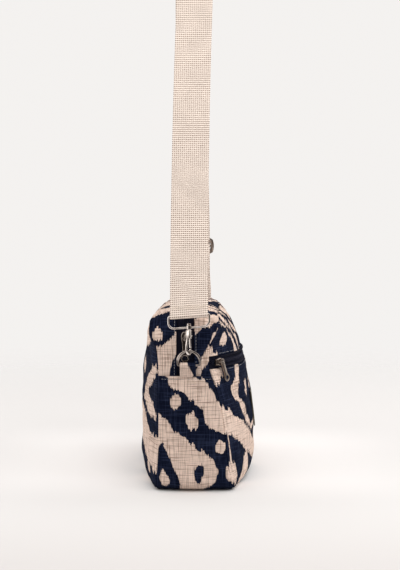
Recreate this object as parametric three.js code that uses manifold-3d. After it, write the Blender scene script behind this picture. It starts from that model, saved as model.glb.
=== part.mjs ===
// A soft zipped shoulder bag with a front zip pocket, hung by a webbing strap.
// Millimetres, +Z up. X runs along the bag, the pocket faces -Y. The origin is on the
// underside of the strap's top, where a shoulder or a peg carries the bag.
import * as THREE from "three";
import { mergeVertices } from "three/addons/utils/BufferGeometryUtils.js";
import Module from "manifold-3d";

const wasm = await Module();
wasm.setup();

// Body
const HALF_LENGTH = 122; // seam outline, middle to end
const SEAM_TOP = 180; // height of the seams along the top
const TOP_CORNER = 32; // corner radii of the bag seen from the front
const BASE_CORNER = 12;
const CLOTH = 2; // canvas with its lining
const SEAM_GAP = 0.3;
const END_CROWN = 4; // how far the gusset swells between its two seams
const TOP_CROWN = 6;
const SWELL_POWER = 2.5; // how square the belly is along the bag

// Horizontal sections of the two big panels. Each row gives how far the panel stands from
// the strap's plane at the bag's ends and at its middle.
const SECTIONS = [
  { z: 0, frontEnd: 42, frontMiddle: 54, backEnd: 32, backMiddle: 44 },
  { z: 5, frontEnd: 44, frontMiddle: 62, backEnd: 34, backMiddle: 50 },
  { z: 13, frontEnd: 43, frontMiddle: 66.5, backEnd: 34, backMiddle: 53 },
  { z: 28, frontEnd: 39, frontMiddle: 68, backEnd: 33, backMiddle: 55 },
  { z: 52, frontEnd: 37, frontMiddle: 67.5, backEnd: 32, backMiddle: 55 },
  { z: 82, frontEnd: 33, frontMiddle: 65, backEnd: 32, backMiddle: 55 },
  { z: 108, frontEnd: 26.5, frontMiddle: 61, backEnd: 32, backMiddle: 54 },
  { z: 127, frontEnd: 21, frontMiddle: 58, backEnd: 32, backMiddle: 52 },
  { z: 139, frontEnd: 20.5, frontMiddle: 53, backEnd: 33, backMiddle: 50.4 },
  { z: 147, frontEnd: 21, frontMiddle: 51, backEnd: 34, backMiddle: 49 },
  { z: 162, frontEnd: 27, frontMiddle: 44, backEnd: 40.5, backMiddle: 46 },
  { z: 172, frontEnd: 29, frontMiddle: 38, backEnd: 40.5, backMiddle: 42 },
  { z: 180, frontEnd: 27, frontMiddle: 30, backEnd: 34, backMiddle: 34 },
];

// Seam where the base gusset laps over the zip panel, and how far it laps
const LAP_HEIGHT = 118;
const LAP = 9;
const LAP_STEP = 2.4;

// Zips
const ZIP_TAPE = 0.8;
const ZIP_SINK = 2.9; // tape's face below the cloth's face
const COIL_HALF = 2.7;
const COIL_THICK = 1.9;
const COIL_SINK = 0.6;
const MAIN_ZIP_Y = 4; // zip's line across the top, from the strap's plane
const MAIN_ZIP_HALF = 9; // half the slit between the cloth edges
const FRONT_ZIP_HEIGHT = 131; // at the bag's ends
const FRONT_ZIP_SAG = 1.5; // how much lower the zip runs at the middle
const FRONT_ZIP_HALF = 6.5;
const TAPE_TUCK = 5;
const MAIN_SLIDER_HEIGHT = 157.5;
const FRONT_SLIDER_X = -111;
const FRONT_PULL_TILT = 19; // degrees, pull's lean along the zip away from straight down
const SLIDER_LENGTH = 11;
const SLIDER_WIDTH = 8.4;
const SLIDER_THICK = 3;
const BAIL_SPAN = 5.4;
const BAIL_RISE = 3.5;
const BAIL_WIRE = 0.65;
const PULL_LENGTH = 22;
const PULL_NECK = 2.5; // half the plate's width
const PULL_END = 4.1; // ring at the plate's free end
const PULL_THICK = 1.4;
const PULL_EYE = 2.1;
const PULL_HOLE = 3.1;

// Label plate on the pocket
const LABEL_WIDTH = 46;
const LABEL_HEIGHT = 38;
const LABEL_MID_HEIGHT = 67.5;
const LABEL_THICK = 1.2;
const LABEL_FLARE = 1.2;

// Strap and its hardware
const STRAP_WIDTH = 38;
const STRAP_THICK = 1.6;
const STRAP_LEAN = THREE.MathUtils.degToRad(12);
const STRAP_TOP_RADIUS = 30;
const TAIL_LENGTH = 34;
const SLIDE_ALONG = 68; // adjuster's middle above the loop's bar, along the strap
const SLIDE_OUT = 2.2;
const SLIDE_BAR_PITCH = 9;
const SLIDE_WIDTH = 47;
const WIRE = 1.05; // loop's and adjuster's wire radius
const RING_WIRE = 1.15;
const RING_HALF = 11;
const RING_LEG = 3.6;
const RING_STANDOFF = 10.5; // ring's top from the end of the bag
const RING_BAR_STANDOFF = 8;
const RING_TOP_HEIGHT = 144.8;
const TAB_WIDTH = 16;
const TAB_SHIFT = 1;
const TAB_THICK = 1.5;
const LOOP_HEIGHT = 12.3;
const LOOP_SLACK = 0.35;
const LOOP_CORNERS = { high: 1.6, low: 6 };
const SLIDE_CORNERS = { high: 2.5, low: 2.5 };
const BOSS_RADIUS = 2.6;
const BOSS_HALF = 2.2;
const POST_RADIUS = 1.1;
const POST_HEAD = 2;
const HOOK_REACH = 23.3; // loop's lower bar to the ring's wire
const HOOK_WIRE = 1.25;
const HOOK_TURN = THREE.MathUtils.degToRad(30);
const HOOK_BLOCK = 4.4;
const GATE_THICK = 1.6;
const GATE_PIN = 0.55;
const GATE_PIVOT = { p: 2, q: 8.2 };

// Hook's wire in its own plane: p across, q down from the loop's lower bar.
const HOOK_LINE = [
  { p: -1.2, q: 7.5 },
  { p: -2.6, q: 12.5 },
  { p: -3.8, q: 17.5 },
  { p: -4, q: 21.5 },
  { p: -3.2, q: 24.6 },
  { p: -1.2, q: 26.4 },
  { p: 1, q: 26.4 },
  { p: 2.8, q: 24.8 },
  { p: 3.4, q: 22.6 },
  { p: 3.4, q: 20.8 },
];

const END_X = HALF_LENGTH + END_CROWN;
const CLOTH_INSET = CLOTH + 3 * SEAM_GAP;
const vec = (x, y, z) => new THREE.Vector3(x, y, z);

// Smooth curve through one column of the sections, without overshoot.
function sectionCurve(column) {
  const z = SECTIONS.map((row) => row.z);
  const y = SECTIONS.map((row) => row[column]);
  const slope = z.slice(1).map((v, i) => (y[i + 1] - y[i]) / (v - z[i]));
  const tangent = y.map((_, i) => {
    const before = slope[Math.max(i - 1, 0)];
    const after = slope[Math.min(i, slope.length - 1)];
    return before * after <= 0 ? 0 : (2 * before * after) / (before + after);
  });
  return (height) => {
    const h = THREE.MathUtils.clamp(height, z[0], z[z.length - 1]);
    const i = Math.min(z.findLastIndex((v) => v <= h), slope.length - 1);
    const span = z[i + 1] - z[i];
    const t = (h - z[i]) / span;
    const rise = y[i + 1] - y[i];
    const a = span * tangent[i] - rise;
    const b = rise - span * tangent[i + 1];
    return y[i] + t * rise + t * (1 - t) * (a * (1 - t) + b * t);
  };
}

const frontEnd = sectionCurve("frontEnd");
const frontMiddle = sectionCurve("frontMiddle");
const backEnd = sectionCurve("backEnd");
const backMiddle = sectionCurve("backMiddle");

function swell(x) {
  return 1 - Math.min(Math.abs(x) / HALF_LENGTH, 1) ** SWELL_POWER;
}

function frontY(x, z) {
  return -THREE.MathUtils.lerp(frontEnd(z), frontMiddle(z), swell(x));
}

function backY(x, z) {
  return THREE.MathUtils.lerp(backEnd(z), backMiddle(z), swell(x));
}

// Point on the front wall, lifted along the wall's outward normal.
function frontNormal(x, z) {
  const step = 0.5;
  const along = vec(2 * step, frontY(x + step, z) - frontY(x - step, z), 0);
  const up = vec(0, frontY(x, z + step) - frontY(x, z - step), 2 * step);
  return along.cross(up).normalize();
}

function frontPoint(x, z, lift) {
  return vec(x, frontY(x, z), z).addScaledVector(frontNormal(x, z), lift);
}

// Seam outline seen from the front, drawn in by an inset.
function outlineEdge(x, inset, top) {
  const radius = (top ? TOP_CORNER : BASE_CORNER) - inset;
  const reach = Math.max(Math.abs(x) - (HALF_LENGTH - inset - radius), 0);
  const drop = radius - Math.sqrt(Math.max(radius ** 2 - reach ** 2, 0));
  return top ? SEAM_TOP - inset - drop : inset + drop;
}

// Front zip's line, lowest at the middle of the bag.
function zipLine(x) {
  return FRONT_ZIP_HEIGHT - FRONT_ZIP_SAG * swell(x);
}

// Closed wall from a grid of points on its outer face, thickened inwards.
function wall(grid, thickness) {
  const columns = grid.length;
  const rows = grid[0].length;
  const { clamp } = THREE.MathUtils;
  const at = (i, j) => grid[clamp(i, 0, columns - 1)][clamp(j, 0, rows - 1)];
  const points = [];
  for (const layer of [0, 1])
    for (let i = 0; i < columns; i++)
      for (let j = 0; j < rows; j++) {
        const along = at(i + 1, j).clone().sub(at(i - 1, j));
        const across = at(i, j + 1).clone().sub(at(i, j - 1));
        const inward = along.cross(across).normalize().multiplyScalar(-thickness * layer);
        points.push(at(i, j).clone().add(inward));
      }
  const id = (i, j, layer) => layer * columns * rows + i * rows + j;
  const faces = [];
  const quad = (a, b, c, d) => faces.push(a, b, c, a, c, d);
  for (let i = 0; i + 1 < columns; i++)
    for (let j = 0; j + 1 < rows; j++) {
      quad(id(i, j, 0), id(i + 1, j, 0), id(i + 1, j + 1, 0), id(i, j + 1, 0));
      quad(id(i, j, 1), id(i, j + 1, 1), id(i + 1, j + 1, 1), id(i + 1, j, 1));
    }
  for (let i = 0; i + 1 < columns; i++) {
    quad(id(i, 0, 0), id(i, 0, 1), id(i + 1, 0, 1), id(i + 1, 0, 0));
    quad(id(i, rows - 1, 0), id(i + 1, rows - 1, 0), id(i + 1, rows - 1, 1), id(i, rows - 1, 1));
  }
  for (let j = 0; j + 1 < rows; j++) {
    quad(id(0, j, 0), id(0, j + 1, 0), id(0, j + 1, 1), id(0, j, 1));
    const last = columns - 1;
    quad(id(last, j, 0), id(last, j, 1), id(last, j + 1, 1), id(last, j + 1, 0));
  }
  const geometry = new THREE.BufferGeometry().setFromPoints(points);
  geometry.setIndex(faces);
  return geometry;
}

function spread(from, to, count) {
  return Array.from({ length: count + 1 }, (_, k) => from + ((to - from) * k) / count);
}

// Columns along the bag, closer together at its ends.
const END_FRACTIONS = [1, 0.985, 0.95, 0.9, 0.83, 0.73, 0.58, 0.4, 0.2];
const COLUMN_FRACTIONS = [...END_FRACTIONS.map((f) => -f), 0, ...END_FRACTIONS.toReversed()];
const PANEL_X = COLUMN_FRACTIONS.map((f) => f * (HALF_LENGTH - CLOTH_INSET));

// Big panel between two height curves. The front is side -1 and the back side +1.
function panel(side, low, high, rows) {
  const depth = side < 0 ? frontY : backY;
  const columns = side < 0 ? PANEL_X : PANEL_X.toReversed();
  const grid = columns.map((x) =>
    rows.map((f) => {
      const z = THREE.MathUtils.lerp(low(x), high(x), f);
      return vec(x, depth(x, z), z);
    }),
  );
  return wall(grid, CLOTH);
}

const panelTop = (x) => outlineEdge(x, CLOTH_INSET, true);
const panelBase = (x) => outlineEdge(x, CLOTH_INSET, false);

// Stations of the gusset round the outline: place and outward direction, from the left end
// to the right one, over the top or under the base.
function gussetStations(top, startHeight) {
  const radius = top ? TOP_CORNER : BASE_CORNER;
  const centreZ = top ? SEAM_TOP - radius : radius;
  const way = top ? 1 : -1;
  const half = [];
  for (const f of [0, 0.04, 0.08, 0.14, 0.4, 0.7])
    half.push({ x: -HALF_LENGTH, z: THREE.MathUtils.lerp(startHeight, centreZ, f), nx: -1, nz: 0 });
  for (const angle of spread(0, Math.PI / 2, 6)) {
    const nx = -Math.cos(angle);
    const nz = way * Math.sin(angle);
    half.push({ x: -HALF_LENGTH + radius + radius * nx, z: centreZ + radius * nz, nx, nz });
  }
  const flat = half[half.length - 1];
  for (const f of [0.66, 0.33]) half.push({ ...flat, x: flat.x * f });
  const mirrored = half.map((s) => ({ ...s, x: -s.x, nx: -s.nx })).reverse();
  return [...half, { ...flat, x: 0 }, ...mirrored];
}

// Point on the gusset at a station, across at y, lifted outwards.
function gussetPoint(station, y, lift) {
  const front = frontY(station.x, station.z);
  const back = backY(station.x, station.z);
  const t = (2 * y - front - back) / (back - front);
  const crown = END_CROWN * station.nx ** 2 + (station.nz > 0 ? TOP_CROWN * station.nz ** 2 : 0);
  const out = crown * (1 - t * t) + lift;
  return vec(station.x + station.nx * out, y, station.z + station.nz * out);
}

// Strip of the gusset between two edges, each a function of the station.
function gussetStrip(stations, edgeA, edgeB, count, lift, thickness) {
  const grid = stations.map((s) =>
    spread(0, 1, count).map((f) => gussetPoint(s, THREE.MathUtils.lerp(edgeA(s), edgeB(s), f), lift(s))),
  );
  return wall(grid, thickness);
}

const seamFront = (s) => frontY(s.x, s.z);
const seamBack = (s) => backY(s.x, s.z);
const flush = () => 0;
const TOP_STATIONS = gussetStations(true, LAP_HEIGHT - LAP + 1);
const BASE_STATIONS = gussetStations(false, LAP_HEIGHT);
const zipEdge = (offset) => () => MAIN_ZIP_Y + offset;

// Base gusset steps out over the zip panel at its two upper ends.
function lapLift(station) {
  const below = LAP_HEIGHT - station.z;
  return LAP_STEP * (1 - THREE.MathUtils.smoothstep(below, LAP, LAP + 3));
}

// Solids joined or cut with one another.
function solid(geometry) {
  const plain = new THREE.BufferGeometry();
  const source = geometry.index ? geometry.toNonIndexed() : geometry;
  plain.setAttribute("position", source.getAttribute("position").clone());
  const merged = mergeVertices(plain, 1e-4);
  const triVerts = new Uint32Array(merged.index.array);
  return new wasm.Manifold(
    new wasm.Mesh({ numProp: 3, vertProperties: merged.attributes.position.array, triVerts }),
  );
}

function fromSolid(body) {
  const mesh = body.getMesh();
  const geometry = new THREE.BufferGeometry();
  geometry.setAttribute("position", new THREE.BufferAttribute(new Float32Array(mesh.vertProperties), 3));
  geometry.setIndex(new THREE.BufferAttribute(new Uint32Array(mesh.triVerts), 1));
  return geometry;
}

function join(...parts) {
  return fromSolid(parts.map(solid).reduce((a, b) => a.add(b)));
}

function cut(from, ...tools) {
  return fromSolid(tools.map(solid).reduce((a, b) => a.subtract(b), solid(from)));
}

// Round bar between two points.
function bar(from, to, radius, sides) {
  const along = to.clone().sub(from);
  const geometry = new THREE.CylinderGeometry(radius, radius, along.length(), sides);
  const turn = new THREE.Quaternion().setFromUnitVectors(vec(0, 1, 0), along.clone().normalize());
  const middle = from.clone().add(to).multiplyScalar(0.5);
  return geometry.applyQuaternion(turn).translate(middle.x, middle.y, middle.z);
}

// Closed round wire through the points of a flat outline.
function wireLoop(points, flatNormal, radius, sides) {
  const count = points.length;
  const places = [];
  points.forEach((p, i) => {
    const along = points[(i + 1) % count].clone().sub(points[(i + count - 1) % count]);
    const side = along.cross(flatNormal).normalize();
    for (let k = 0; k < sides; k++) {
      const angle = (2 * Math.PI * k) / sides;
      const place = p.clone().addScaledVector(side, radius * Math.cos(angle));
      places.push(place.addScaledVector(flatNormal, radius * Math.sin(angle)));
    }
  });
  const id = (i, k) => (i % count) * sides + (k % sides);
  const faces = [];
  for (let i = 0; i < count; i++)
    for (let k = 0; k < sides; k++) {
      faces.push(id(i, k), id(i + 1, k), id(i + 1, k + 1));
      faces.push(id(i, k), id(i + 1, k + 1), id(i, k + 1));
    }
  const geometry = new THREE.BufferGeometry().setFromPoints(places);
  geometry.setIndex(faces);
  return geometry;
}

// Rounded outline of a frame, half sizes given, in a plane of two axes.
function frameOutline(centre, across, up, halfAcross, halfUp, corners) {
  const points = [];
  for (const [su, sv, start] of [[1, 1, 0], [-1, 1, 1], [-1, -1, 2], [1, -1, 3]])
    for (const angle of spread(0, Math.PI / 2, 3)) {
      const a = angle + (start * Math.PI) / 2;
      const corner = sv > 0 ? corners.high : corners.low;
      const u = su * (halfAcross - corner) + corner * Math.cos(a);
      const v = sv * (halfUp - corner) + corner * Math.sin(a);
      points.push(centre.clone().addScaledVector(across, u).addScaledVector(up, v));
    }
  return points;
}

// Frame of the left end's hanging line: up along the strap, out of the bag, across it.
const UP = vec(Math.sin(STRAP_LEAN), 0, Math.cos(STRAP_LEAN));
const OUT = vec(-Math.cos(STRAP_LEAN), 0, Math.sin(STRAP_LEAN));
const ACROSS = vec(0, 1, 0);
const RING_TOP = vec(-END_X - RING_STANDOFF, 0, RING_TOP_HEIGHT);
const LOOP_LOW = RING_TOP.clone().addScaledVector(UP, HOOK_REACH);
const LOOP_HIGH = LOOP_LOW.clone().addScaledVector(UP, LOOP_HEIGHT);

function dRing() {
  const height = RING_HALF + RING_LEG;
  const bottom = vec(-END_X - RING_BAR_STANDOFF, 0, RING_TOP_HEIGHT - height);
  const up = RING_TOP.clone().sub(bottom).normalize();
  const place = (u, v) => bottom.clone().addScaledVector(ACROSS, u).addScaledVector(up, v);
  const points = [place(RING_HALF - 1, 0), place(RING_HALF - 0.2, 0.8)];
  for (const angle of spread(0, Math.PI, 10))
    points.push(place(RING_HALF * Math.cos(angle), RING_LEG + RING_HALF * Math.sin(angle)));
  points.push(place(0.2 - RING_HALF, 0.8), place(1 - RING_HALF, 0));
  return wireLoop(points, ACROSS.clone().cross(up), RING_WIRE, 8);
}

// Cloth tab folded round the ring's bar, open below where the lap catches it.
function tab() {
  const barX = -END_X - RING_BAR_STANDOFF;
  const barZ = RING_TOP_HEIGHT - RING_HALF - RING_LEG;
  const inner = RING_WIRE + SEAM_GAP;
  const outer = inner + TAB_THICK;
  const foot = LAP_HEIGHT + SEAM_GAP;
  const footX = -END_X - 1.2;
  const shape = new THREE.Shape();
  const tuck = TAB_THICK + SEAM_GAP / 2;
  shape.moveTo(footX - 2 * TAB_THICK, foot);
  for (const angle of spread(Math.PI, 0, 8))
    shape.lineTo(barX + outer * Math.cos(angle), barZ + outer * Math.sin(angle));
  shape.lineTo(footX + 0.3, foot);
  shape.lineTo(footX - tuck + TAB_THICK / 2, foot);
  for (const angle of spread(0, Math.PI, 8))
    shape.lineTo(barX + inner * Math.cos(angle), barZ + inner * Math.sin(angle));
  shape.lineTo(footX - tuck, foot);
  const geometry = new THREE.ExtrudeGeometry(shape, { depth: TAB_WIDTH, bevelEnabled: false });
  return geometry.rotateX(Math.PI / 2).translate(0, TAB_WIDTH / 2 + TAB_SHIFT, 0);
}

// Wire loop that carries the strap, with the boss that the hook turns in.
function swivelLoop() {
  const half = STRAP_WIDTH / 2 + LOOP_SLACK + WIRE;
  const centre = LOOP_LOW.clone().addScaledVector(UP, LOOP_HEIGHT / 2);
  const outline = frameOutline(centre, ACROSS, UP, half, LOOP_HEIGHT / 2, LOOP_CORNERS);
  const ring = wireLoop(outline, ACROSS.clone().cross(UP), WIRE, 8);
  const low = LOOP_LOW.clone().addScaledVector(UP, -BOSS_HALF);
  const high = LOOP_LOW.clone().addScaledVector(UP, BOSS_HALF);
  const boreLow = LOOP_LOW.clone().addScaledVector(UP, -2 * BOSS_HALF);
  const boreHigh = LOOP_LOW.clone().addScaledVector(UP, 2 * BOSS_HALF);
  const body = join(ring, bar(low, high, BOSS_RADIUS, 14));
  return cut(body, bar(boreLow, boreHigh, POST_RADIUS + SEAM_GAP, 12));
}

// Hook's plane: p runs towards the bag on one side of the strap's plane, q runs down.
const HOOK_P = OUT.clone()
  .multiplyScalar(-Math.cos(HOOK_TURN))
  .addScaledVector(ACROSS, -Math.sin(HOOK_TURN));
const HOOK_Q = UP.clone().negate();
const HOOK_W = HOOK_P.clone().cross(HOOK_Q).normalize();
const hookPoint = (p, q, w = 0) =>
  LOOP_LOW.clone().addScaledVector(HOOK_P, p).addScaledVector(HOOK_Q, q).addScaledVector(HOOK_W, w);

// Flat piece cut in the hook's plane.
function hookPlate(shape, thickness) {
  const options = { depth: thickness, bevelEnabled: false, curveSegments: 6 };
  const geometry = new THREE.ExtrudeGeometry(shape, options);
  const place = new THREE.Matrix4().makeBasis(HOOK_P, HOOK_Q, HOOK_W).setPosition(LOOP_LOW);
  return geometry.translate(0, 0, -thickness / 2).applyMatrix4(place);
}

function roundedShape(corners, radius) {
  const shape = new THREE.Shape();
  corners.forEach((corner, i) => {
    const before = corners[(i + corners.length - 1) % corners.length];
    const after = corners[(i + 1) % corners.length];
    const here = new THREE.Vector2(...corner);
    const a = new THREE.Vector2(...before).sub(here).setLength(radius).add(here);
    const b = new THREE.Vector2(...after).sub(here).setLength(radius).add(here);
    if (i === 0) shape.moveTo(a.x, a.y);
    else shape.lineTo(a.x, a.y);
    shape.quadraticCurveTo(here.x, here.y, b.x, b.y);
  });
  shape.closePath();
  return shape;
}

function circlePath(x, y, radius) {
  const path = new THREE.Path();
  path.absarc(x, y, radius, 0, 2 * Math.PI, true);
  return path;
}

function hook() {
  const points = HOOK_LINE.map((row) => hookPoint(row.p, row.q));
  const line = new THREE.CatmullRomCurve3(points, false, "centripetal");
  const section = new THREE.Shape().absarc(0, 0, HOOK_WIRE, 0, 2 * Math.PI);
  const claw = new THREE.ExtrudeGeometry(section, { steps: 20, extrudePath: line, curveSegments: 4 });
  const top = BOSS_HALF + SEAM_GAP;
  const block = hookPlate(
    roundedShape([[-2.3, top], [3.3, top], [3.6, 9.4], [2.2, 11], [-2.8, 11]], 0.8),
    HOOK_BLOCK,
  );
  const { p, q } = GATE_PIVOT;
  const slotShape = roundedShape([[-0.2, 5.6], [6, 5.6], [6, 13], [-0.2, 13]], 0.4);
  const slot = hookPlate(slotShape, GATE_THICK + 2 * SEAM_GAP);
  const body = solid(block).subtract(solid(slot));
  const post = bar(hookPoint(0, top + 0.5), hookPoint(0, -top - 0.5), POST_RADIUS, 12);
  const head = bar(hookPoint(0, -top), hookPoint(0, -top - 1.5), POST_HEAD, 12);
  const reach = HOOK_BLOCK / 2 - 0.1;
  const pin = bar(hookPoint(p, q, -reach), hookPoint(p, q, reach), GATE_PIN, 8);
  return fromSolid([claw, post, head, pin].map(solid).reduce((a, b) => a.add(b), body));
}

// Sprung gate that turns on the pin and closes on the hook's nose.
function gate() {
  const { p, q } = GATE_PIVOT;
  const shape = roundedShape(
    [
      [p - 1.5, q - 1.5],
      [p + 1.1, q - 1.6],
      [p + 1.8, q + 1.4],
      [p + 2.2, q + 5],
      [p + 2.3, q + 12],
      [p + 0.3, q + 12.1],
      [p - 0.6, q + 4.2],
    ],
    0.8,
  );
  shape.holes.push(circlePath(p, q, GATE_PIN + SEAM_GAP));
  return hookPlate(shape, GATE_THICK);
}

// Strap's line in the X-Z plane, run like a belt round pegs. A peg's turn is its radius,
// above zero where the strap goes round it anticlockwise.
function belt(pegs) {
  const centre = pegs.map((peg) => new THREE.Vector2(peg.x, peg.z));
  const heading = [];
  for (let i = 0; i + 1 < pegs.length; i++) {
    const gap = centre[i + 1].clone().sub(centre[i]);
    heading.push(gap.angle() + Math.asin((pegs[i].turn - pegs[i + 1].turn) / gap.length()));
  }
  const points = [];
  pegs.forEach((peg, i) => {
    const into = heading[Math.max(i - 1, 0)];
    const away = heading[Math.min(i, heading.length - 1)];
    const full = 2 * Math.PI;
    const way = Math.sign(peg.turn);
    const sweep = way * THREE.MathUtils.euclideanModulo(way * (away - into), full);
    const count = peg.turn === 0 ? 0 : Math.max(2, Math.ceil(Math.abs(sweep) / 0.42));
    for (let k = 0; k <= count; k++) {
      const angle = into + (count ? (sweep * k) / count : 0);
      const x = peg.x + peg.turn * Math.sin(angle);
      points.push(new THREE.Vector2(x, peg.z - peg.turn * Math.cos(angle)));
    }
  });
  return points;
}

const WRAP = WIRE + SEAM_GAP + STRAP_THICK / 2;
const LAYER = STRAP_THICK + SEAM_GAP;
const RIGHT = (along, out) => {
  const p = LOOP_HIGH.clone().addScaledVector(UP, along).addScaledVector(OUT, out);
  return { x: -p.x, z: p.z };
};
const LEFT = (along, out) => ({ ...RIGHT(along, out), x: -RIGHT(along, out).x });
const RUN = (LOOP_HIGH.x * -1 + (WRAP - STRAP_TOP_RADIUS) * Math.cos(STRAP_LEAN)) / Math.sin(STRAP_LEAN);
const ARCH_Z = LOOP_HIGH.z + RUN * Math.cos(STRAP_LEAN) + (WRAP - STRAP_TOP_RADIUS) * Math.sin(STRAP_LEAN);
const HANG_Z = ARCH_Z + STRAP_TOP_RADIUS - STRAP_THICK / 2;

function strapLine() {
  const top = RIGHT(SLIDE_ALONG + SLIDE_BAR_PITCH, SLIDE_OUT);
  const middle = RIGHT(SLIDE_ALONG, SLIDE_OUT);
  const low = RIGHT(SLIDE_ALONG - SLIDE_BAR_PITCH, SLIDE_OUT);
  return belt([
    { ...LEFT(TAIL_LENGTH, WRAP - LAYER), turn: 0 },
    { ...LEFT(0, 0), turn: -WRAP },
    { x: 0, z: ARCH_Z, turn: -STRAP_TOP_RADIUS },
    { ...top, turn: WRAP },
    { ...middle, turn: -WRAP - LAYER },
    { ...low, turn: WRAP },
    { ...RIGHT(0, 0), turn: -WRAP },
    { ...low, turn: -WRAP - LAYER },
    { ...middle, turn: WRAP },
    { ...low, turn: WRAP + 2 * LAYER },
    { ...RIGHT(SLIDE_ALONG - TAIL_LENGTH, SLIDE_OUT - WRAP - 2 * LAYER), turn: 0 },
  ]);
}

function strap() {
  const line = strapLine();
  const side = (sign) =>
    line.map((p, i) => {
      const before = line[Math.max(i - 1, 0)];
      const after = line[Math.min(i + 1, line.length - 1)];
      const along = after.clone().sub(before).normalize();
      return p.clone().add(new THREE.Vector2(-along.y, along.x).multiplyScalar((sign * STRAP_THICK) / 2));
    });
  const shape = new THREE.Shape([...side(1), ...side(-1).reverse()]);
  const geometry = new THREE.ExtrudeGeometry(shape, { depth: STRAP_WIDTH, bevelEnabled: false });
  return geometry.rotateX(Math.PI / 2).translate(0, STRAP_WIDTH / 2, 0);
}

// Adjuster: a wire frame with a middle bar, in the right side's strap.
function strapSlider() {
  const up = vec(-UP.x, 0, UP.z);
  const place = RIGHT(SLIDE_ALONG, SLIDE_OUT);
  const centre = vec(place.x, 0, place.z);
  const half = SLIDE_WIDTH / 2 - WIRE;
  const outline = frameOutline(centre, ACROSS, up, half, SLIDE_BAR_PITCH, SLIDE_CORNERS);
  const frame = wireLoop(outline, ACROSS.clone().cross(up), WIRE, 8);
  const ends = [-half, half].map((y) => centre.clone().add(vec(0, y, 0)));
  return join(frame, bar(ends[0], ends[1], WIRE, 8));
}

// Zip slider: body on the coil with a wire bail over it. Axes: along the zip, across, out.
function sliderAt(origin, along, across, out) {
  const half = SLIDER_LENGTH / 2;
  const wide = SLIDER_WIDTH / 2;
  const corners = [[-half, -wide * 0.7], [half * 0.3, -wide], [half, -wide * 0.6]];
  const shape = roundedShape([...corners, ...corners.toReversed().map(([u, v]) => [u, -v])], 1.4);
  const options = { depth: SLIDER_THICK, bevelEnabled: false, curveSegments: 4 };
  const body = new THREE.ExtrudeGeometry(shape, options);
  const foot = SLIDER_THICK - 0.6;
  const crest = SLIDER_THICK + BAIL_RISE - BAIL_WIRE;
  const leg = BAIL_SPAN / 2;
  const rise = [[-leg, foot], [-leg, crest - 1], [1 - leg, crest]];
  const bailLine = [...rise, ...rise.toReversed().map(([u, w]) => [-u, w])];
  const arch = new THREE.CatmullRomCurve3(
    bailLine.map(([u, w]) => vec(u, 0, w)),
    false,
    "centripetal",
  );
  const section = new THREE.Shape().absarc(0, 0, BAIL_WIRE, 0, 2 * Math.PI);
  const bail = new THREE.ExtrudeGeometry(section, { steps: 12, extrudePath: arch, curveSegments: 3 });
  const basis = new THREE.Matrix4().makeBasis(along, across, out);
  return join(body, bail).applyMatrix4(basis).translate(origin.x, origin.y, origin.z);
}

// Pull plate with an eye for the bail and a ring at its free end. It hangs along `down`.
function pullAt(eye, down, out) {
  const ring = PULL_EYE + 1.2;
  const shoulder = 0.5;
  const ringAt = PULL_LENGTH - PULL_END;
  const flare = Math.acos(PULL_NECK / PULL_END);
  const shape = new THREE.Shape();
  shape.absarc(0, 0, ring, Math.PI - shoulder, shoulder, false);
  shape.lineTo(PULL_NECK, 2 * ring);
  shape.absarc(0, ringAt, PULL_END, -flare, Math.PI + flare, false);
  shape.lineTo(-PULL_NECK, 2 * ring);
  shape.holes.push(circlePath(0, 0, PULL_EYE), circlePath(0, ringAt, PULL_HOLE));
  const options = { depth: PULL_THICK, bevelEnabled: false, curveSegments: 5 };
  const plate = new THREE.ExtrudeGeometry(shape, options);
  const basis = new THREE.Matrix4().makeBasis(down.clone().cross(out), down, out);
  return plate.translate(0, 0, -PULL_THICK / 2).applyMatrix4(basis).translate(eye.x, eye.y, eye.z);
}

// Main slider on the left end: zip runs up the end, and the pull hangs straight down.
const EYE_OUT = SLIDER_THICK + SEAM_GAP + PULL_THICK / 2;
const MAIN_OUT = vec(-1, 0, 0);
const MAIN_SLIDER_AT = vec(-END_X + COIL_SINK - SEAM_GAP, MAIN_ZIP_Y, MAIN_SLIDER_HEIGHT);
const MAIN_EYE = MAIN_SLIDER_AT.clone().addScaledVector(MAIN_OUT, EYE_OUT).add(vec(0, 0, -BAIL_SPAN / 2));

// Front slider: zip runs along the bag, and the pull leans along it.
const FRONT_SLIDER_Z = zipLine(FRONT_SLIDER_X);
const FRONT_OUT = frontNormal(FRONT_SLIDER_X, FRONT_SLIDER_Z);
const FRONT_ALONG = vec(0, 0, 1).cross(FRONT_OUT).normalize().negate();
const FRONT_ACROSS = FRONT_OUT.clone().cross(FRONT_ALONG);
const FRONT_SLIDER_AT = frontPoint(FRONT_SLIDER_X, FRONT_SLIDER_Z, SEAM_GAP);
const TILT = THREE.MathUtils.degToRad(FRONT_PULL_TILT);
const FRONT_ALONG_X = FRONT_ALONG.clone().multiplyScalar(Math.sign(FRONT_ALONG.x));
const FRONT_DROP = FRONT_ALONG_X.clone()
  .cross(FRONT_OUT)
  .multiplyScalar(Math.sign(FRONT_ALONG_X.clone().cross(FRONT_OUT).z) * -Math.cos(TILT))
  .addScaledVector(FRONT_ALONG_X, Math.sin(TILT));
const FRONT_EYE = FRONT_SLIDER_AT.clone()
  .addScaledVector(FRONT_OUT, EYE_OUT)
  .addScaledVector(FRONT_ALONG_X, BAIL_SPAN / 2);

// Label plate: follows the pocket's wall and stands off a little along its lower edge.
function label() {
  const grid = spread(-LABEL_WIDTH / 2, LABEL_WIDTH / 2, 4).map((x) =>
    spread(0, 1, 5).map((f) => {
      const z = LABEL_MID_HEIGHT + LABEL_HEIGHT * (f - 0.5);
      return frontPoint(x, z, LABEL_THICK + SEAM_GAP + LABEL_FLARE * (1 - f) ** 2);
    }),
  );
  return wall(grid, LABEL_THICK);
}

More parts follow.
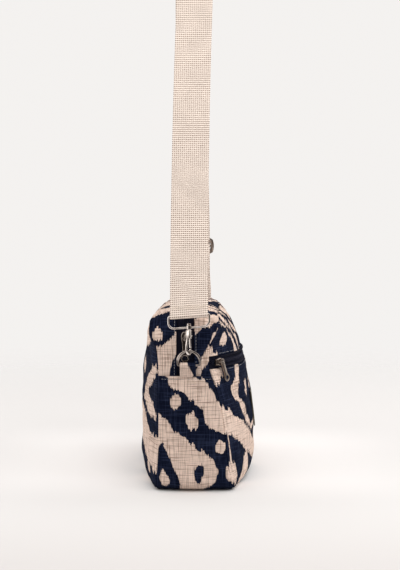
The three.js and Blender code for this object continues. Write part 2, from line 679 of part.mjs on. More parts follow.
// Front zip's tape or coil: a strip along the bag between two heights.
function frontZipStrip(low, high, count, lift, thickness) {
  const limit = HALF_LENGTH - CLOTH_INSET - SEAM_GAP;
  const grid = PANEL_X.map((x) =>
    spread(low, high, count).map((z) =>
      frontPoint(THREE.MathUtils.clamp(x, -limit, limit), zipLine(x) + z, lift),
    ),
  );
  return wall(grid, thickness);
}

const FINISHES = {
  cloth: { color: "#3a4568", roughness: 0.9, metalness: 0 },
  tape: { color: "#1b2138", roughness: 0.85, metalness: 0 },
  webbing: { color: "#e4d6c6", roughness: 0.95, metalness: 0 },
  nickel: { color: "#b9b6b2", roughness: 0.25, metalness: 1 },
  plate: { color: "#3b3a33", roughness: 0.5, metalness: 0.1 },
};

const bag = new THREE.Group();
bag.name = "shoulder_bag";

function piece(name, finish, geometry) {
  const mesh = new THREE.Mesh(geometry, new THREE.MeshStandardMaterial(FINISHES[finish]));
  mesh.name = name;
  mesh.position.z = -HANG_Z;
  bag.add(mesh);
}

// The same piece at the right end, turned over in the middle plane.
function mirrored(geometry) {
  const source = geometry.index ? geometry.toNonIndexed() : geometry.clone();
  const position = source.getAttribute("position");
  const points = [];
  for (let i = 0; i < position.count; i += 3)
    for (const k of [i, i + 2, i + 1])
      points.push(vec(-position.getX(k), position.getY(k), position.getZ(k)));
  return new THREE.BufferGeometry().setFromPoints(points);
}

function bothEnds(name, finish, geometry) {
  piece(`left_${name}`, finish, geometry);
  piece(`right_${name}`, finish, mirrored(geometry));
}

const zipTop = (x) => zipLine(x) + FRONT_ZIP_HALF;
const zipLow = (x) => zipLine(x) - FRONT_ZIP_HALF;
const frontRows = [0, 0.12, 0.4, 0.7, 0.88, 1];
const pocketRows = [0, 0.04, 0.1, 0.2, 0.38, 0.6, 0.82, 0.94, 1];
const backRows = [0, 0.03, 0.08, 0.16, 0.3, 0.5, 0.7, 0.84, 0.94, 1];
piece("front_panel", "cloth", panel(-1, zipTop, panelTop, frontRows));
piece("front_pocket", "cloth", panel(-1, panelBase, zipLow, pocketRows));
piece("back_panel", "cloth", panel(1, panelBase, panelTop, backRows));

const topStrip = (edgeA, edgeB, count, lift, thickness) =>
  gussetStrip(TOP_STATIONS, edgeA, edgeB, count, lift, thickness);
const slitFront = zipEdge(-MAIN_ZIP_HALF);
const slitBack = zipEdge(MAIN_ZIP_HALF);
piece("bottom_gusset", "cloth", gussetStrip(BASE_STATIONS, seamBack, seamFront, 5, lapLift, CLOTH));
piece("top_gusset_front", "cloth", topStrip(seamFront, slitFront, 3, flush, CLOTH));
piece("top_gusset_back", "cloth", topStrip(slitBack, seamBack, 3, flush, CLOTH));

const sunk = () => -ZIP_SINK;
const coilLift = () => -COIL_SINK;
const tapeReach = MAIN_ZIP_HALF + TAPE_TUCK;
const tapeFront = [zipEdge(-tapeReach), zipEdge(-SEAM_GAP / 2)];
const tapeBack = [zipEdge(SEAM_GAP / 2), zipEdge(tapeReach)];
piece("main_zip_tape_front", "tape", topStrip(...tapeFront, 2, sunk, ZIP_TAPE));
piece("main_zip_tape_back", "tape", topStrip(...tapeBack, 2, sunk, ZIP_TAPE));
const coilEdges = [zipEdge(-COIL_HALF), zipEdge(COIL_HALF)];
piece("main_zip_coil", "tape", topStrip(...coilEdges, 1, coilLift, COIL_THICK));
piece("main_zip_slider", "nickel", sliderAt(MAIN_SLIDER_AT, vec(0, 0, 1), vec(0, 1, 0), MAIN_OUT));
piece("main_zip_pull", "nickel", pullAt(MAIN_EYE, vec(0, 0, -1), MAIN_OUT));

const reach = FRONT_ZIP_HALF + TAPE_TUCK;
piece("front_zip_tape_upper", "tape", frontZipStrip(SEAM_GAP / 2, reach, 2, -ZIP_SINK, ZIP_TAPE));
piece("front_zip_tape_lower", "tape", frontZipStrip(-reach, -SEAM_GAP / 2, 2, -ZIP_SINK, ZIP_TAPE));
piece("front_zip_coil", "tape", frontZipStrip(-COIL_HALF, COIL_HALF, 1, -COIL_SINK, COIL_THICK));
piece("front_zip_slider", "nickel", sliderAt(FRONT_SLIDER_AT, FRONT_ALONG, FRONT_ACROSS, FRONT_OUT));
piece("front_zip_pull", "nickel", pullAt(FRONT_EYE, FRONT_DROP, FRONT_OUT));
piece("pocket_label", "plate", label());

bothEnds("tab", "cloth", tab());
bothEnds("d_ring", "nickel", dRing());
bothEnds("swivel_loop", "nickel", swivelLoop());
bothEnds("hook", "nickel", hook());
bothEnds("gate", "nickel", gate());
piece("strap", "webbing", strap());
piece("strap_slider", "nickel", strapSlider());

export default bag;
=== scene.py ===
"""Shoulder bag in ikat canvas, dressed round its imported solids.

Lengths are millimetres in the bag's own frame: X runs along the bag with the main zip's pull at -X, the
front pocket faces -Y, and Z rises from the base. Meshes are handed over in metres, in the row frame.
"""

import logging
import math
from dataclasses import dataclass, field
from enum import Enum
from typing import Callable, Optional, Protocol, Sequence, Union

import bmesh
import bpy
import numpy as np
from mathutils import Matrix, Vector


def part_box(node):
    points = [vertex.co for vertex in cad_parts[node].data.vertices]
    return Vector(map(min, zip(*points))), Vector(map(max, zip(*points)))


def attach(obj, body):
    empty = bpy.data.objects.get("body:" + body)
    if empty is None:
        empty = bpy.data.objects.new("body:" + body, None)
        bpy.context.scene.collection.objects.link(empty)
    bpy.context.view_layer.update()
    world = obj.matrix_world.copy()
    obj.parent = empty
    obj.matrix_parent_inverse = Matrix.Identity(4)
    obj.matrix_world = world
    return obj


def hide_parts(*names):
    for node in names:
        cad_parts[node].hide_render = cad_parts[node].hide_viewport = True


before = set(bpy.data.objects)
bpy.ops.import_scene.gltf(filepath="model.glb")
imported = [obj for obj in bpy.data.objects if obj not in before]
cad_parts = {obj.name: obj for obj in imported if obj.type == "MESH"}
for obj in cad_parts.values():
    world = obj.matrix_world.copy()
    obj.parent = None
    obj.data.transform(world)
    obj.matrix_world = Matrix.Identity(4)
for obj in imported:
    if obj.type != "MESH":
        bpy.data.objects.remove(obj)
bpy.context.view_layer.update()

log = logging.getLogger("shoulder_bag")

MM = 0.001
WELD = 1e-4
ACROSS = np.array((0.0, 1.0, 0.0))
BAG = "bag"
BASE_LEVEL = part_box("bottom_gusset")[0].z
CLOTH_MAP = "cloth"

Array = np.ndarray
Look = bpy.types.Material
Socket = bpy.types.NodeSocket
Value = Union[float, tuple, Socket]
Face = tuple[int, ...]
Pair = tuple[float, float]
Triple = tuple[float, float, float]
Surface = Callable[[Array, Array, Array], Array]


class Side(Enum):
    """Which of the two big walls of the bag."""

    FRONT = -1
    BACK = 1


class End(Enum):
    """Which end of the bag a fitting hangs at, by the sign of its X."""

    LEFT = -1
    RIGHT = 1


# Meshes


@dataclass
class Form:
    """Vertices, faces and cloth coordinates of a mesh in the making."""

    places: Array
    faces: list[Face]
    cloth: Optional[Array] = None

    def at(self, end: End) -> "Form":
        """The form of a left end at either end, turned over in the middle plane for the right one."""
        over = Form(self.places * (-1, 1, 1), [face[::-1] for face in self.faces], self.cloth)
        return self if end is End.LEFT else over

    def set_in(self, origin: Array, axes: Sequence[Array]) -> "Form":
        """Moves the form from its own axes to a place on the bag.

        Args:
            origin: Where the form's own origin goes.
            axes: Directions of its own x, y and z.

        Returns:
            The placed form.
        """
        return Form(np.asarray(origin) + self.places @ np.array(axes), self.faces, self.cloth)


def joined(*forms: Form) -> Form:
    """Several forms as one.

    Args:
        forms: The forms to put together.

    Returns:
        One form that holds them all.
    """
    faces: list[Face] = []
    start = 0
    for form in forms:
        faces += [tuple(start + i for i in face) for face in form.faces]
        start += len(form.places)
    cloth = [form.cloth if form.cloth is not None else np.zeros((len(form.places), 2)) for form in forms]
    return Form(np.concatenate([form.places for form in forms]), faces, np.concatenate(cloth))


def quads(a: Array, b: Array, c: Array, d: Array) -> list[Face]:
    """Faces from four index arrays of one shape."""
    return [tuple(row) for row in np.stack([a, b, c, d], -1).reshape(-1, 4).tolist()]


def shell(outer: Array, inner: Array, cloth: Array) -> Form:
    """Closed wall between two grids of points.

    Args:
        outer: Points of the outer face, as rows by columns by 3.
        inner: Points of the inner face, in the same order.
        cloth: Cloth coordinates of each place on the grid.

    Returns:
        The wall with its four rims.
    """
    rows, columns = outer.shape[:2]
    top = np.arange(rows * columns).reshape(rows, columns)
    low = top + rows * columns
    faces = quads(top[:-1, :-1], top[1:, :-1], top[1:, 1:], top[:-1, 1:])
    faces += quads(low[:-1, :-1], low[:-1, 1:], low[1:, 1:], low[1:, :-1])
    for rim in (np.s_[:, 0], np.s_[::-1, -1], np.s_[0, ::-1], np.s_[-1]):
        edge, under = top[rim], low[rim]
        faces += quads(edge[:-1], under[:-1], under[1:], edge[1:])
    places = np.concatenate([outer.reshape(-1, 3), inner.reshape(-1, 3)])
    return Form(places, faces, np.tile(cloth.reshape(-1, 2), (2, 1)))


def loft(rings: Array, closed: bool = False, cloth: Optional[Array] = None) -> Form:
    """Skin over a row of rings, with ends capped or run into one another.

    Args:
        rings: Points as rings by places by 3.
        closed: Whether the last ring meets the first.
        cloth: Cloth coordinates of each point.

    Returns:
        A closed form.
    """
    count, sides = rings.shape[:2]
    index = np.arange(count * sides).reshape(count, sides)
    here = index if closed else index[:-1]
    after = np.roll(index, -1, axis=0) if closed else index[1:]
    faces = quads(here, after, np.roll(after, -1, axis=1), np.roll(here, -1, axis=1))
    if not closed:
        faces += [tuple(index[0].tolist()), tuple(index[-1, ::-1].tolist())]
    return Form(rings.reshape(-1, 3), faces, None if cloth is None else cloth.reshape(-1, 2))


def unit(vectors: Array) -> Array:
    """Vectors at length one."""
    return vectors / np.maximum(np.linalg.norm(vectors, axis=-1, keepdims=True), 1e-12)


def spokes(side: Array, up: Array, count: int) -> Array:
    """Directions all round a line, from two at right angles to it."""
    angle = np.linspace(0, 2 * math.pi, count, endpoint=False)[:, None]
    return side[..., None, :] * np.cos(angle) + up[..., None, :] * np.sin(angle)


def wire(line: Array, radius: Union[float, Array], sides: int = 16, closed: bool = False) -> Form:
    """Round wire along a line of points.

    Args:
        line: Points of the centreline.
        radius: One radius, or one for each point.
        sides: Places round the wire.
        closed: Whether the wire is a ring.

    Returns:
        The wire as a closed form.
    """
    line = np.asarray(line, float)
    ahead = np.roll(line, -1, axis=0) - np.roll(line, 1, axis=0) if closed else np.gradient(line, axis=0)
    along = unit(ahead)
    flat = np.linalg.svd(line - line.mean(0))[2][-1]
    side = unit(np.cross(along, flat))
    reach = np.broadcast_to(np.asarray(radius, float), len(line))[:, None, None]
    return loft(line[:, None] + reach * spokes(side, np.cross(side, along), sides), closed)


def turned(profile: Sequence[Pair], origin: Array, axis: Array, sides: int = 24) -> Form:
    """Solid of revolution.

    Args:
        profile: Rows of radius and height that close on the axis or on themselves.
        origin: Where height zero lies.
        axis: Direction of the axis.
        sides: Places round the axis.

    Returns:
        The turned form.
    """
    aslant = (0.3, 0.9, 0.2)
    on_axis = 0.05
    axis = unit(np.asarray(axis, float))
    across = unit(np.cross(axis, aslant))
    spoke = spokes(across, np.cross(axis, across), sides)
    rows = np.asarray(profile, float)
    rings = np.asarray(origin) + rows[:, 0, None, None] * spoke + rows[:, 1, None, None] * axis
    return loft(rings, closed=bool(min(rows[0, 0], rows[-1, 0]) > on_axis))


def plate(outline: Array, holes: Sequence[Array], thickness: float, bevel: float) -> Form:
    """Flat plate with rounded edges, lying in its own XY plane.

    Args:
        outline: Points of the outer edge.
        holes: Points of each hole's edge.
        thickness: Thickness along z, even about zero.
        bevel: Radius of the rounded edges.

    Returns:
        The plate, welded.
    """
    curve = bpy.data.curves.new("plate", "CURVE")
    curve.dimensions = "2D"
    curve.fill_mode = "BOTH"
    curve.bevel_depth = bevel
    curve.bevel_resolution = 2
    curve.extrude = thickness / 2 - bevel
    for ring, inset in [(outline, bevel)] + [(hole, -bevel) for hole in holes]:
        spline = curve.splines.new("POLY")
        spline.points.add(len(ring) - 1)
        drawn = drawn_in(np.asarray(ring, float), inset)
        spline.points.foreach_set("co", np.c_[drawn, np.zeros(len(ring)), np.ones(len(ring))].ravel())
        spline.use_cyclic_u = True
    carrier = bpy.data.objects.new("plate", curve)
    bpy.context.scene.collection.objects.link(carrier)
    mesh = bpy.data.meshes.new_from_object(carrier.evaluated_get(bpy.context.evaluated_depsgraph_get()))
    work = bmesh.new()
    work.from_mesh(mesh)
    bmesh.ops.remove_doubles(work, verts=work.verts, dist=WELD)
    bmesh.ops.recalc_face_normals(work, faces=work.faces)
    work.verts.index_update()
    form = Form(np.array([v.co for v in work.verts]), [tuple(v.index for v in f.verts) for f in work.faces])
    work.free()
    bpy.data.objects.remove(carrier)
    bpy.data.curves.remove(curve)
    bpy.data.meshes.remove(mesh)
    return form


def drawn_in(ring: Array, inset: float) -> Array:
    """Draws a closed outline in.

    Args:
        ring: Points of the outline.
        inset: How far in, or out where it is below zero.

    Returns:
        The moved points.
    """
    along = unit(np.roll(ring, -1, axis=0) - np.roll(ring, 1, axis=0))
    area = np.sum(ring[:, 0] * np.roll(ring[:, 1], -1) - ring[:, 1] * np.roll(ring[:, 0], -1))
    return ring + math.copysign(inset, area) * np.c_[-along[:, 1], along[:, 0]]


def arc(centre: Sequence[float], radius: float, start: float, end: float, count: int = 12) -> Array:
    """Points of a flat arc, angles in degrees."""
    angle = np.radians(np.linspace(start, end, count))
    return np.asarray(centre) + radius * np.c_[np.cos(angle), np.sin(angle)]


def rounded(corners: Union[Array, Sequence[Pair]], radius: float, steps: int = 5) -> Array:
    """Outline through corner points, each eased by a short curve.

    Args:
        corners: Corner points in order.
        radius: How far before and after a corner its curve runs.
        steps: Points on each curve.

    Returns:
        The outline's points.
    """
    points = np.asarray(corners, float)
    before = points + radius * unit(np.roll(points, 1, axis=0) - points)
    after = points + radius * unit(np.roll(points, -1, axis=0) - points)
    t = np.linspace(0, 1, steps)[None, :, None]
    eased = before[:, None] * (1 - t) ** 2 + 2 * points[:, None] * t * (1 - t) + after[:, None] * t**2
    return eased.reshape(-1, 2)


def edge_drop(distance: Array, radius: float) -> Array:
    """How far a rounded edge falls away at a distance from its rim."""
    short = radius - np.clip(distance, 0, radius)
    return radius - np.sqrt(np.maximum(radius**2 - short**2, 0))


def laid(outline: Array, middle: Array, up: Array) -> Array:
    """Flat outline laid across the bag, about a middle and along an upward direction."""
    return middle + outline[:, :1] * ACROSS + outline[:, 1:] * up


def smooth_line(points: Array, count: int) -> Array:
    """Catmull-Rom line through points.

    Args:
        points: The points to pass through.
        count: Points on the finished line.

    Returns:
        Points along the line.
    """
    p = np.asarray(points, float)
    p = np.concatenate([2 * p[:1] - p[1:2], p, 2 * p[-1:] - p[-2:-1]])
    at = np.linspace(0, len(p) - 3 - 1e-9, count)
    i = at.astype(int)
    t = (at - i)[:, None]
    a, b, c, d = p[i], p[i + 1], p[i + 2], p[i + 3]
    return 0.5 * (2 * b + (c - a) * t + (2 * a - 5 * b + 4 * c - d) * t**2 + (3 * b - a - 3 * c + d) * t**3)


def make_piece(name: str, form: Form, look: Look, nodes: Sequence[str] = (),
               body: str = BAG, crease: float = 40) -> bpy.types.Object:
    """Turns a form into a piece of the object.

    Args:
        name: Name of the piece.
        form: Its shape, in millimetres.
        look: Its material.
        nodes: Solids that the piece stands for.
        body: Body that it moves with.
        crease: Angle in degrees above which an edge stays sharp.

    Returns:
        The new object.
    """
    places = form.places * MM + (0, 0, BASE_LEVEL)
    mesh = bpy.data.meshes.new(name)
    mesh.from_pydata(places.tolist(), [], form.faces)
    work = bmesh.new()
    work.from_mesh(mesh)
    if work.calc_volume(signed=True) < 0:
        bmesh.ops.reverse_faces(work, faces=work.faces)
    work.to_mesh(mesh)
    work.free()
    if form.cloth is not None:
        corner = np.empty(len(mesh.loops), np.int32)
        mesh.loops.foreach_get("vertex_index", corner)
        layer = mesh.uv_layers.new(name=CLOTH_MAP)
        layer.uv.foreach_set("vector", form.cloth[corner].astype(np.float32).ravel())
    mesh.shade_smooth()
    mesh.set_sharp_from_angle(angle=math.radians(crease))
    mesh.materials.append(look)
    made = bpy.data.objects.new(name, mesh)
    bpy.context.scene.collection.objects.link(made)
    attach(made, body)
    if nodes:
        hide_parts(*nodes)
    log.info("%s: %d faces on %s", name, len(form.faces), body)
    return made


# Node graphs


class Graph:
    """Adds and links the shader nodes of one material."""

    def __init__(self, name: str) -> None:
        """Starts a material with one shader.

        Args:
            name: Name of the material.
        """
        self.material = bpy.data.materials.new(name)
        self.material.use_nodes = True
        self.tree = self.material.node_tree
        self.shader = self.tree.nodes["Principled BSDF"]

    def put(self, socket: Socket, value: Value) -> None:
        """Fills a socket.

        Args:
            socket: The socket.
            value: A link, or a number or colour to set.
        """
        if isinstance(value, bpy.types.NodeSocket):
            self.tree.links.new(value, socket)
        else:
            socket.default_value = value

    def add(self, kind: str, inputs: Optional[dict[Union[int, str], Value]] = None,
            **settings: object) -> bpy.types.Node:
        """Adds a node.

        Args:
            kind: Blender's name of the node's type.
            inputs: Values or links by socket.
            settings: Properties of the node.

        Returns:
            The node.
        """
        node = self.tree.nodes.new(kind)
        for key, value in settings.items():
            setattr(node, key, value)
        for key, value in (inputs or {}).items():
            self.put(node.inputs[key], value)
        return node

    def math(self, operation: str, a: Value, b: Value = 0.0, c: Value = 0.0) -> Socket:
        """One sum of numbers."""
        return self.add("ShaderNodeMath", {0: a, 1: b, 2: c}, operation=operation).outputs[0]

    def times(self, a: Value, b: Value) -> Socket:
        """Product of two numbers."""
        return self.math("MULTIPLY", a, b)

    def ridges(self, value: Value, pitch: float) -> Socket:
        """Round ridges, from zero between them to one on their crests."""
        return self.math("ABSOLUTE", self.math("SINE", self.times(value, math.pi / pitch)))

    def cloth(self) -> tuple[Socket, Socket]:
        """Cloth coordinates across and along, in millimetres."""
        uv = self.add("ShaderNodeUVMap", uv_map=CLOTH_MAP).outputs[0]
        return tuple(self.add("ShaderNodeSeparateXYZ", {0: uv}).outputs)[:2]

    def place(self) -> Socket:
        """Place on the object, in metres."""
        return self.add("ShaderNodeTexCoord").outputs["Object"]

    def pair(self, a: Value, b: Value) -> Socket:
        """Two numbers as a vector."""
        return self.add("ShaderNodeCombineXYZ", {0: a, 1: b}).outputs[0]

    def noise(self, vector: Socket, scale: float, detail: float = 2.0, rough: float = 0.5) -> Socket:
        """Soft noise, about a half on the whole."""
        inputs = {"Vector": vector, "Scale": scale, "Detail": detail, "Roughness": rough}
        return self.add("ShaderNodeTexNoise", inputs).outputs[0]

    def span(self, value: Socket, source: Pair, target: Pair) -> Socket:
        """A number eased from one range to another."""
        inputs = dict(enumerate((value, *source, *target)))
        return self.add("ShaderNodeMapRange", inputs, interpolation_type="SMOOTHSTEP").outputs[0]

    def mix(self, share: Value, a: Value, b: Value, blend: str = "MIX") -> Socket:
        """Two colours mixed by a share of the second."""
        inputs = {0: share, 6: a, 7: b}
        return self.add("ShaderNodeMix", inputs, data_type="RGBA", blend_type=blend).outputs[2]

    def bump(self, height: Socket, depth: float, strength: float = 1.0) -> None:
        """Raises the surface by a height from zero to one.

        Args:
            height: The height.
            depth: What a height of one stands for, in millimetres.
            strength: Share of the bump that shows.
        """
        inputs = {"Strength": strength, "Distance": depth * MM, "Height": height}
        self.put(self.shader.inputs["Normal"], self.add("ShaderNodeBump", inputs).outputs[0])

    def finish(self, **sockets: Value) -> Look:
        """Sets the shader up.

        Args:
            sockets: Values of its own sockets, named with _ for a space.

        Returns:
            The material.
        """
        for key, value in sockets.items():
            self.put(self.shader.inputs[key.replace("_", " ")], value)
        return self.material

    def weave(self, across: Socket, along: Socket, pitch: float, rise: float) -> Socket:
        """Height of a plain weave.

        Args:
            across: Place across the cloth.
            along: Place along the cloth.
            pitch: Width of one thread.
            rise: Length of one thread's crossing.

        Returns:
            Height from zero between threads to one on a crossing.
        """
        turn = self.math("MODULO", self.math("FLOOR", self.math("DIVIDE", across, pitch)), 2.0)
        ridge = self.ridges(across, pitch)
        shifted = self.math("ADD", self.math("DIVIDE", along, rise), turn)
        wave = self.math("SINE", self.times(shifted, math.pi))
        dip = 0.35
        lift = self.math("MULTIPLY_ADD", wave, dip, 1 - dip)
        return self.times(ridge, lift)


# Ikat pattern


@dataclass(frozen=True)
class Motif:
    """One run of the pattern up the cloth.

    Rows give height, left edge and right edge in millimetres. A row whose left edge lies past its right one
    leaves a gap. A ground motif is cut out of those before it.
    """

    rows: tuple[Triple, ...]
    ground: bool = False


def dot(height: float, across: float, half_width: float, half_height: float) -> tuple:
    """Rows of an oval spot.

    Args:
        height: Height of its middle.
        across: Place of its middle across the cloth.
        half_width: Half its width.
        half_height: Half its height.

    Returns:
        Rows for a motif, with a closing row below and above the spot.
    """
    gap, past = 6.0, 0.8
    rows = []
    for lift, share in ((-1, 0.15), (-0.6, 0.75), (-0.25, 1), (0.25, 1), (0.6, 0.75), (1, 0.15)):
        half = half_width * share
        rows.append((height + half_height * lift, across - half, across + half))
    low = (height - half_height - past, across + gap, across - gap)
    high = (height + half_height + past, across + gap, across - gap)
    return (low, *rows, high)


@dataclass(frozen=True)
class Chart:
    """A stretch of the cloth's pattern, folded over at its edges to fill a whole panel."""

    name: str
    across: Pair
    height: Pair
    motifs: tuple[Motif, ...]


END_CHART = Chart("end", (-46, 50), (-4, 124), (
    Motif(((124, -28, 2), (118, -23, 8), (113, -21, 16), (108, -19, 20.5), (104, -13, 23), (100, -5.5, 25.5),
           (95, -1, 27.5), (90, 8.5, 32.5), (84, 13, 38), (78, 14.5, 45), (74, 15.5, 48), (67, 20.5, 56),
           (63, 26.5, 59), (60.5, 32, 60), (58, 44, 60), (54, 60, 58))),
    Motif(((86, -30, -37), (84, -60, -34), (80.5, -60, -31), (78, -60, -29), (74, -60, -23), (68, -60, -19),
           (62, -60, -16), (59, -60, -11), (55, -60, -7), (52.5, -60, -2.5), (51.5, -28, -2), (48, -26.5, 5),
           (44, -24.5, 9), (39, -22, 17.5), (36, -21, 22), (31, -18, 25.5), (25, -16.5, 27.5), (17, -12, 28),
           (10, -10, 26), (7, -9.5, 21), (3, -9.5, 16), (-4, -9.5, 14))),
    Motif(((54, -44, -60), (52, -60, -28), (47, -60, -30.5), (42, -60, -32.5), (37, -36, -60))),
    Motif(dot(20, 10, 5, 9), ground=True),
    Motif(((4.5, -21, -27), (6, -25.5, -22.5), (9, -28, -20.5), (12.5, -30, -20), (16, -29.8, -22),
           (20, -28.5, -24.5), (24, -27.6, -26.4), (25.5, -23, -30)) + dot(46, 31.7, 5, 7)
          + dot(72, 2.9, 6.2, 9) + dot(91.5, -13.6, 5.4, 8)),
    Motif(dot(19, 43, 5.8, 11)),
))

BACK_TOP_CHART = Chart("back top", (-44, -8), (116, 206), (
    Motif(((116, -60, -20), (120, -60, -19.7), (130, -60, -17.6), (137, -60, -15), (143, -60, -9),
           (146.5, -33, -8), (148.5, -29.5, -7), (152, -23, -6), (155.5, -18, -5), (159.5, -14.5, -4),
           (162, -4, -12))),
    Motif(dot(159.4, -32, 5.2, 6.4) + ((180, -30, -60), (181.5, -60, -36), (184, -60, -28), (186, -60, -18),
                                       (188.5, -60, -4), (206, -60, -4))),
))

FRONT_TOP_CHART = Chart("front top", (0, 36), (116, 206), (
    Motif(((116, 5.5, 11), (119, 6, 11.5), (122, 6.5, 12.5), (127, 7.5, 16), (131, 10, 18.5), (135, 13, 20),
           (142, 16, 20.6), (148, 18.6, 22.4), (151, 20.4, 23.6), (161, 24.2, 27.4), (167, 28.4, 31.4),
           (169, 40, 20))),
    Motif(((160, 9, 4), (162, -6, 8), (165, -6, 13), (168, -6, 19), (172, -6, 25), (176, 4, 29),
           (180, 12, 34), (184, 20, 40), (186, 34, 30))),
    Motif(((188, 0, -6), (190, -8, 10), (194, -8, 20), (200, -8, 40), (206, -8, 40))),
))

POCKET_CHART = Chart("pocket", (0, 92), (-2, 126), (
    Motif(((126, -8, 20), (122, -8, 19), (116, -4, 17.8), (112.5, 1, 10), (110, 0.5, 7), (108, 1.5, 3.5),
           (106.5, 5, 0))),
    Motif(((126, 50.5, 63.5), (116, 46.5, 58.5), (109, 42.5, 54), (107.5, 35.5, 52.5), (105, 32.5, 51),
           (99, 28.8, 44.5), (94, 29.5, 43.5), (90, 33.5, 44.8), (85, 41, 52.5), (77, 44.8, 58),
           (68, 49.5, 66), (60, 60, 76), (55, 70, 86), (50, 84, 96), (47, 98, 88))),
    Motif(((104.5, 82, 76), (103, 74.5, 82.5), (100, 68, 83), (97, 66, 81), (94, 62.5, 76), (91, 62, 70.5),
           (89.5, 68, 62))),
    Motif(((92, -4, -8), (87, -20, 1), (81.5, -20, 16), (73, -20, 24), (63, -20, 44), (59, 6, 53),
           (53, 18, 64), (48, 27, 73), (42.5, 36, 82), (34, 51, 95), (30, 58, 98), (23, 72, 99),
           (19, 84, 80))),
    Motif(((64, 7, 2), (61, 3.6, 5.6), (52, 4.2, 6.2), (44, 5, 7.2), (33, 6.4, 9), (27, 3, 12.5),
           (22, -3, 15), (16, -5, 16.5), (11, -2, 14.5), (8, 2, 10), (6, 8, 3))),
    Motif(((33, 58, 48), (29, 45, 58), (20, 37, 57), (12, 31, 53), (6, 20, 49), (-2, 10, 44))),
))

FRONT_CHART = Chart("front", (0, 130), (130, 184), (
    Motif(((130, -8, 21), (136, -8, 18), (140, -6, 12.5), (143, -4, 7), (147, -2, 1.8), (149, 20, -22))),
    Motif(((161.5, 40, 18), (160, 26.5, 30), (156, 21.5, 36), (151.5, 20, 38.5), (148, 23, 35.5),
           (146.5, 27, 31.5), (145.5, 40, 18))),
    Motif(((178, 24, -14), (175, 3, 14), (172.5, 8, 20), (167, 26, 33), (162, 42, 47), (157, 49.5, 55.5),
           (152, 55.5, 63.5), (143, 60.5, 71.5), (137, 61, 74), (130, 61, 74))),
    Motif(((184, 8, 24), (176, 25, 42), (171, 33, 54), (166, 50, 62), (161, 64, 72), (155, 75, 82),
           (150, 82.5, 89), (142, 83, 88.5), (130, 83, 88.5))),
    Motif(((184, 48, 62), (176, 62, 78), (170, 80, 92), (167, 87, 98), (158, 89, 103), (153, 96, 102),
           (151, 120, 80))),
    Motif(((184, 90, 140), (176, 104, 140), (170, 114, 140), (167, 120, 140), (165, 150, 110))),
))

BACK_CHART = Chart("back", (0, 92), (-2, 182), (
    Motif(((130, 25, -9), (128.5, 5.5, 9), (124.5, 2, 16), (120, 3, 25), (114, 11, 34), (108, 20, 43),
           (103, 28, 48), (99, 35, 50), (95, 33, 51.5), (92, 29, 52), (87, 13, 50.5), (81, 7.5, 44),
           (76, 5, 31), (73, 5, 16), (71.5, 28, -12))),
    Motif(((81, 99, 60), (79, 60, 99), (78, 52, 99), (70, 39, 99), (64, 33, 99), (57, 27, 99), (55, 16, 99),
           (53.5, -9, 99), (51, -9, 99), (40, -9, 78), (33, -9, 61), (27, -9, 37), (20, -9, 11),
           (16.5, 12, -8))),
    Motif(((143.5, 70, 20), (145, 40, 54), (148, 28, 60), (152, 22, 60), (160, 16, 58), (166, 14, 50),
           (169, 18, 40), (171, 60, 0))),
    Motif(((182, -9, 99), (177, 18, 99), (174.5, 40, 99), (172.5, 66, 86), (170, 72, 84), (158, 78, 88),
           (146, 80, 92), (134, 84, 99), (120, 88, 99), (114, 109, 80))),
    Motif(dot(20, 30, 5, 8) + dot(120, 68, 5, 8)),
    Motif(((14, 90, 60), (11, 54, 86), (4, 44, 80), (-2, 40, 72))),
))

TAB_CHART = Chart("tab", (-11, 11), (0, 60), (
    Motif(((0, -5.5, 30), (6, -3, 30), (12, -0.8, 30), (20, 1, 30), (60, 3, 30))),
))


# Finishes


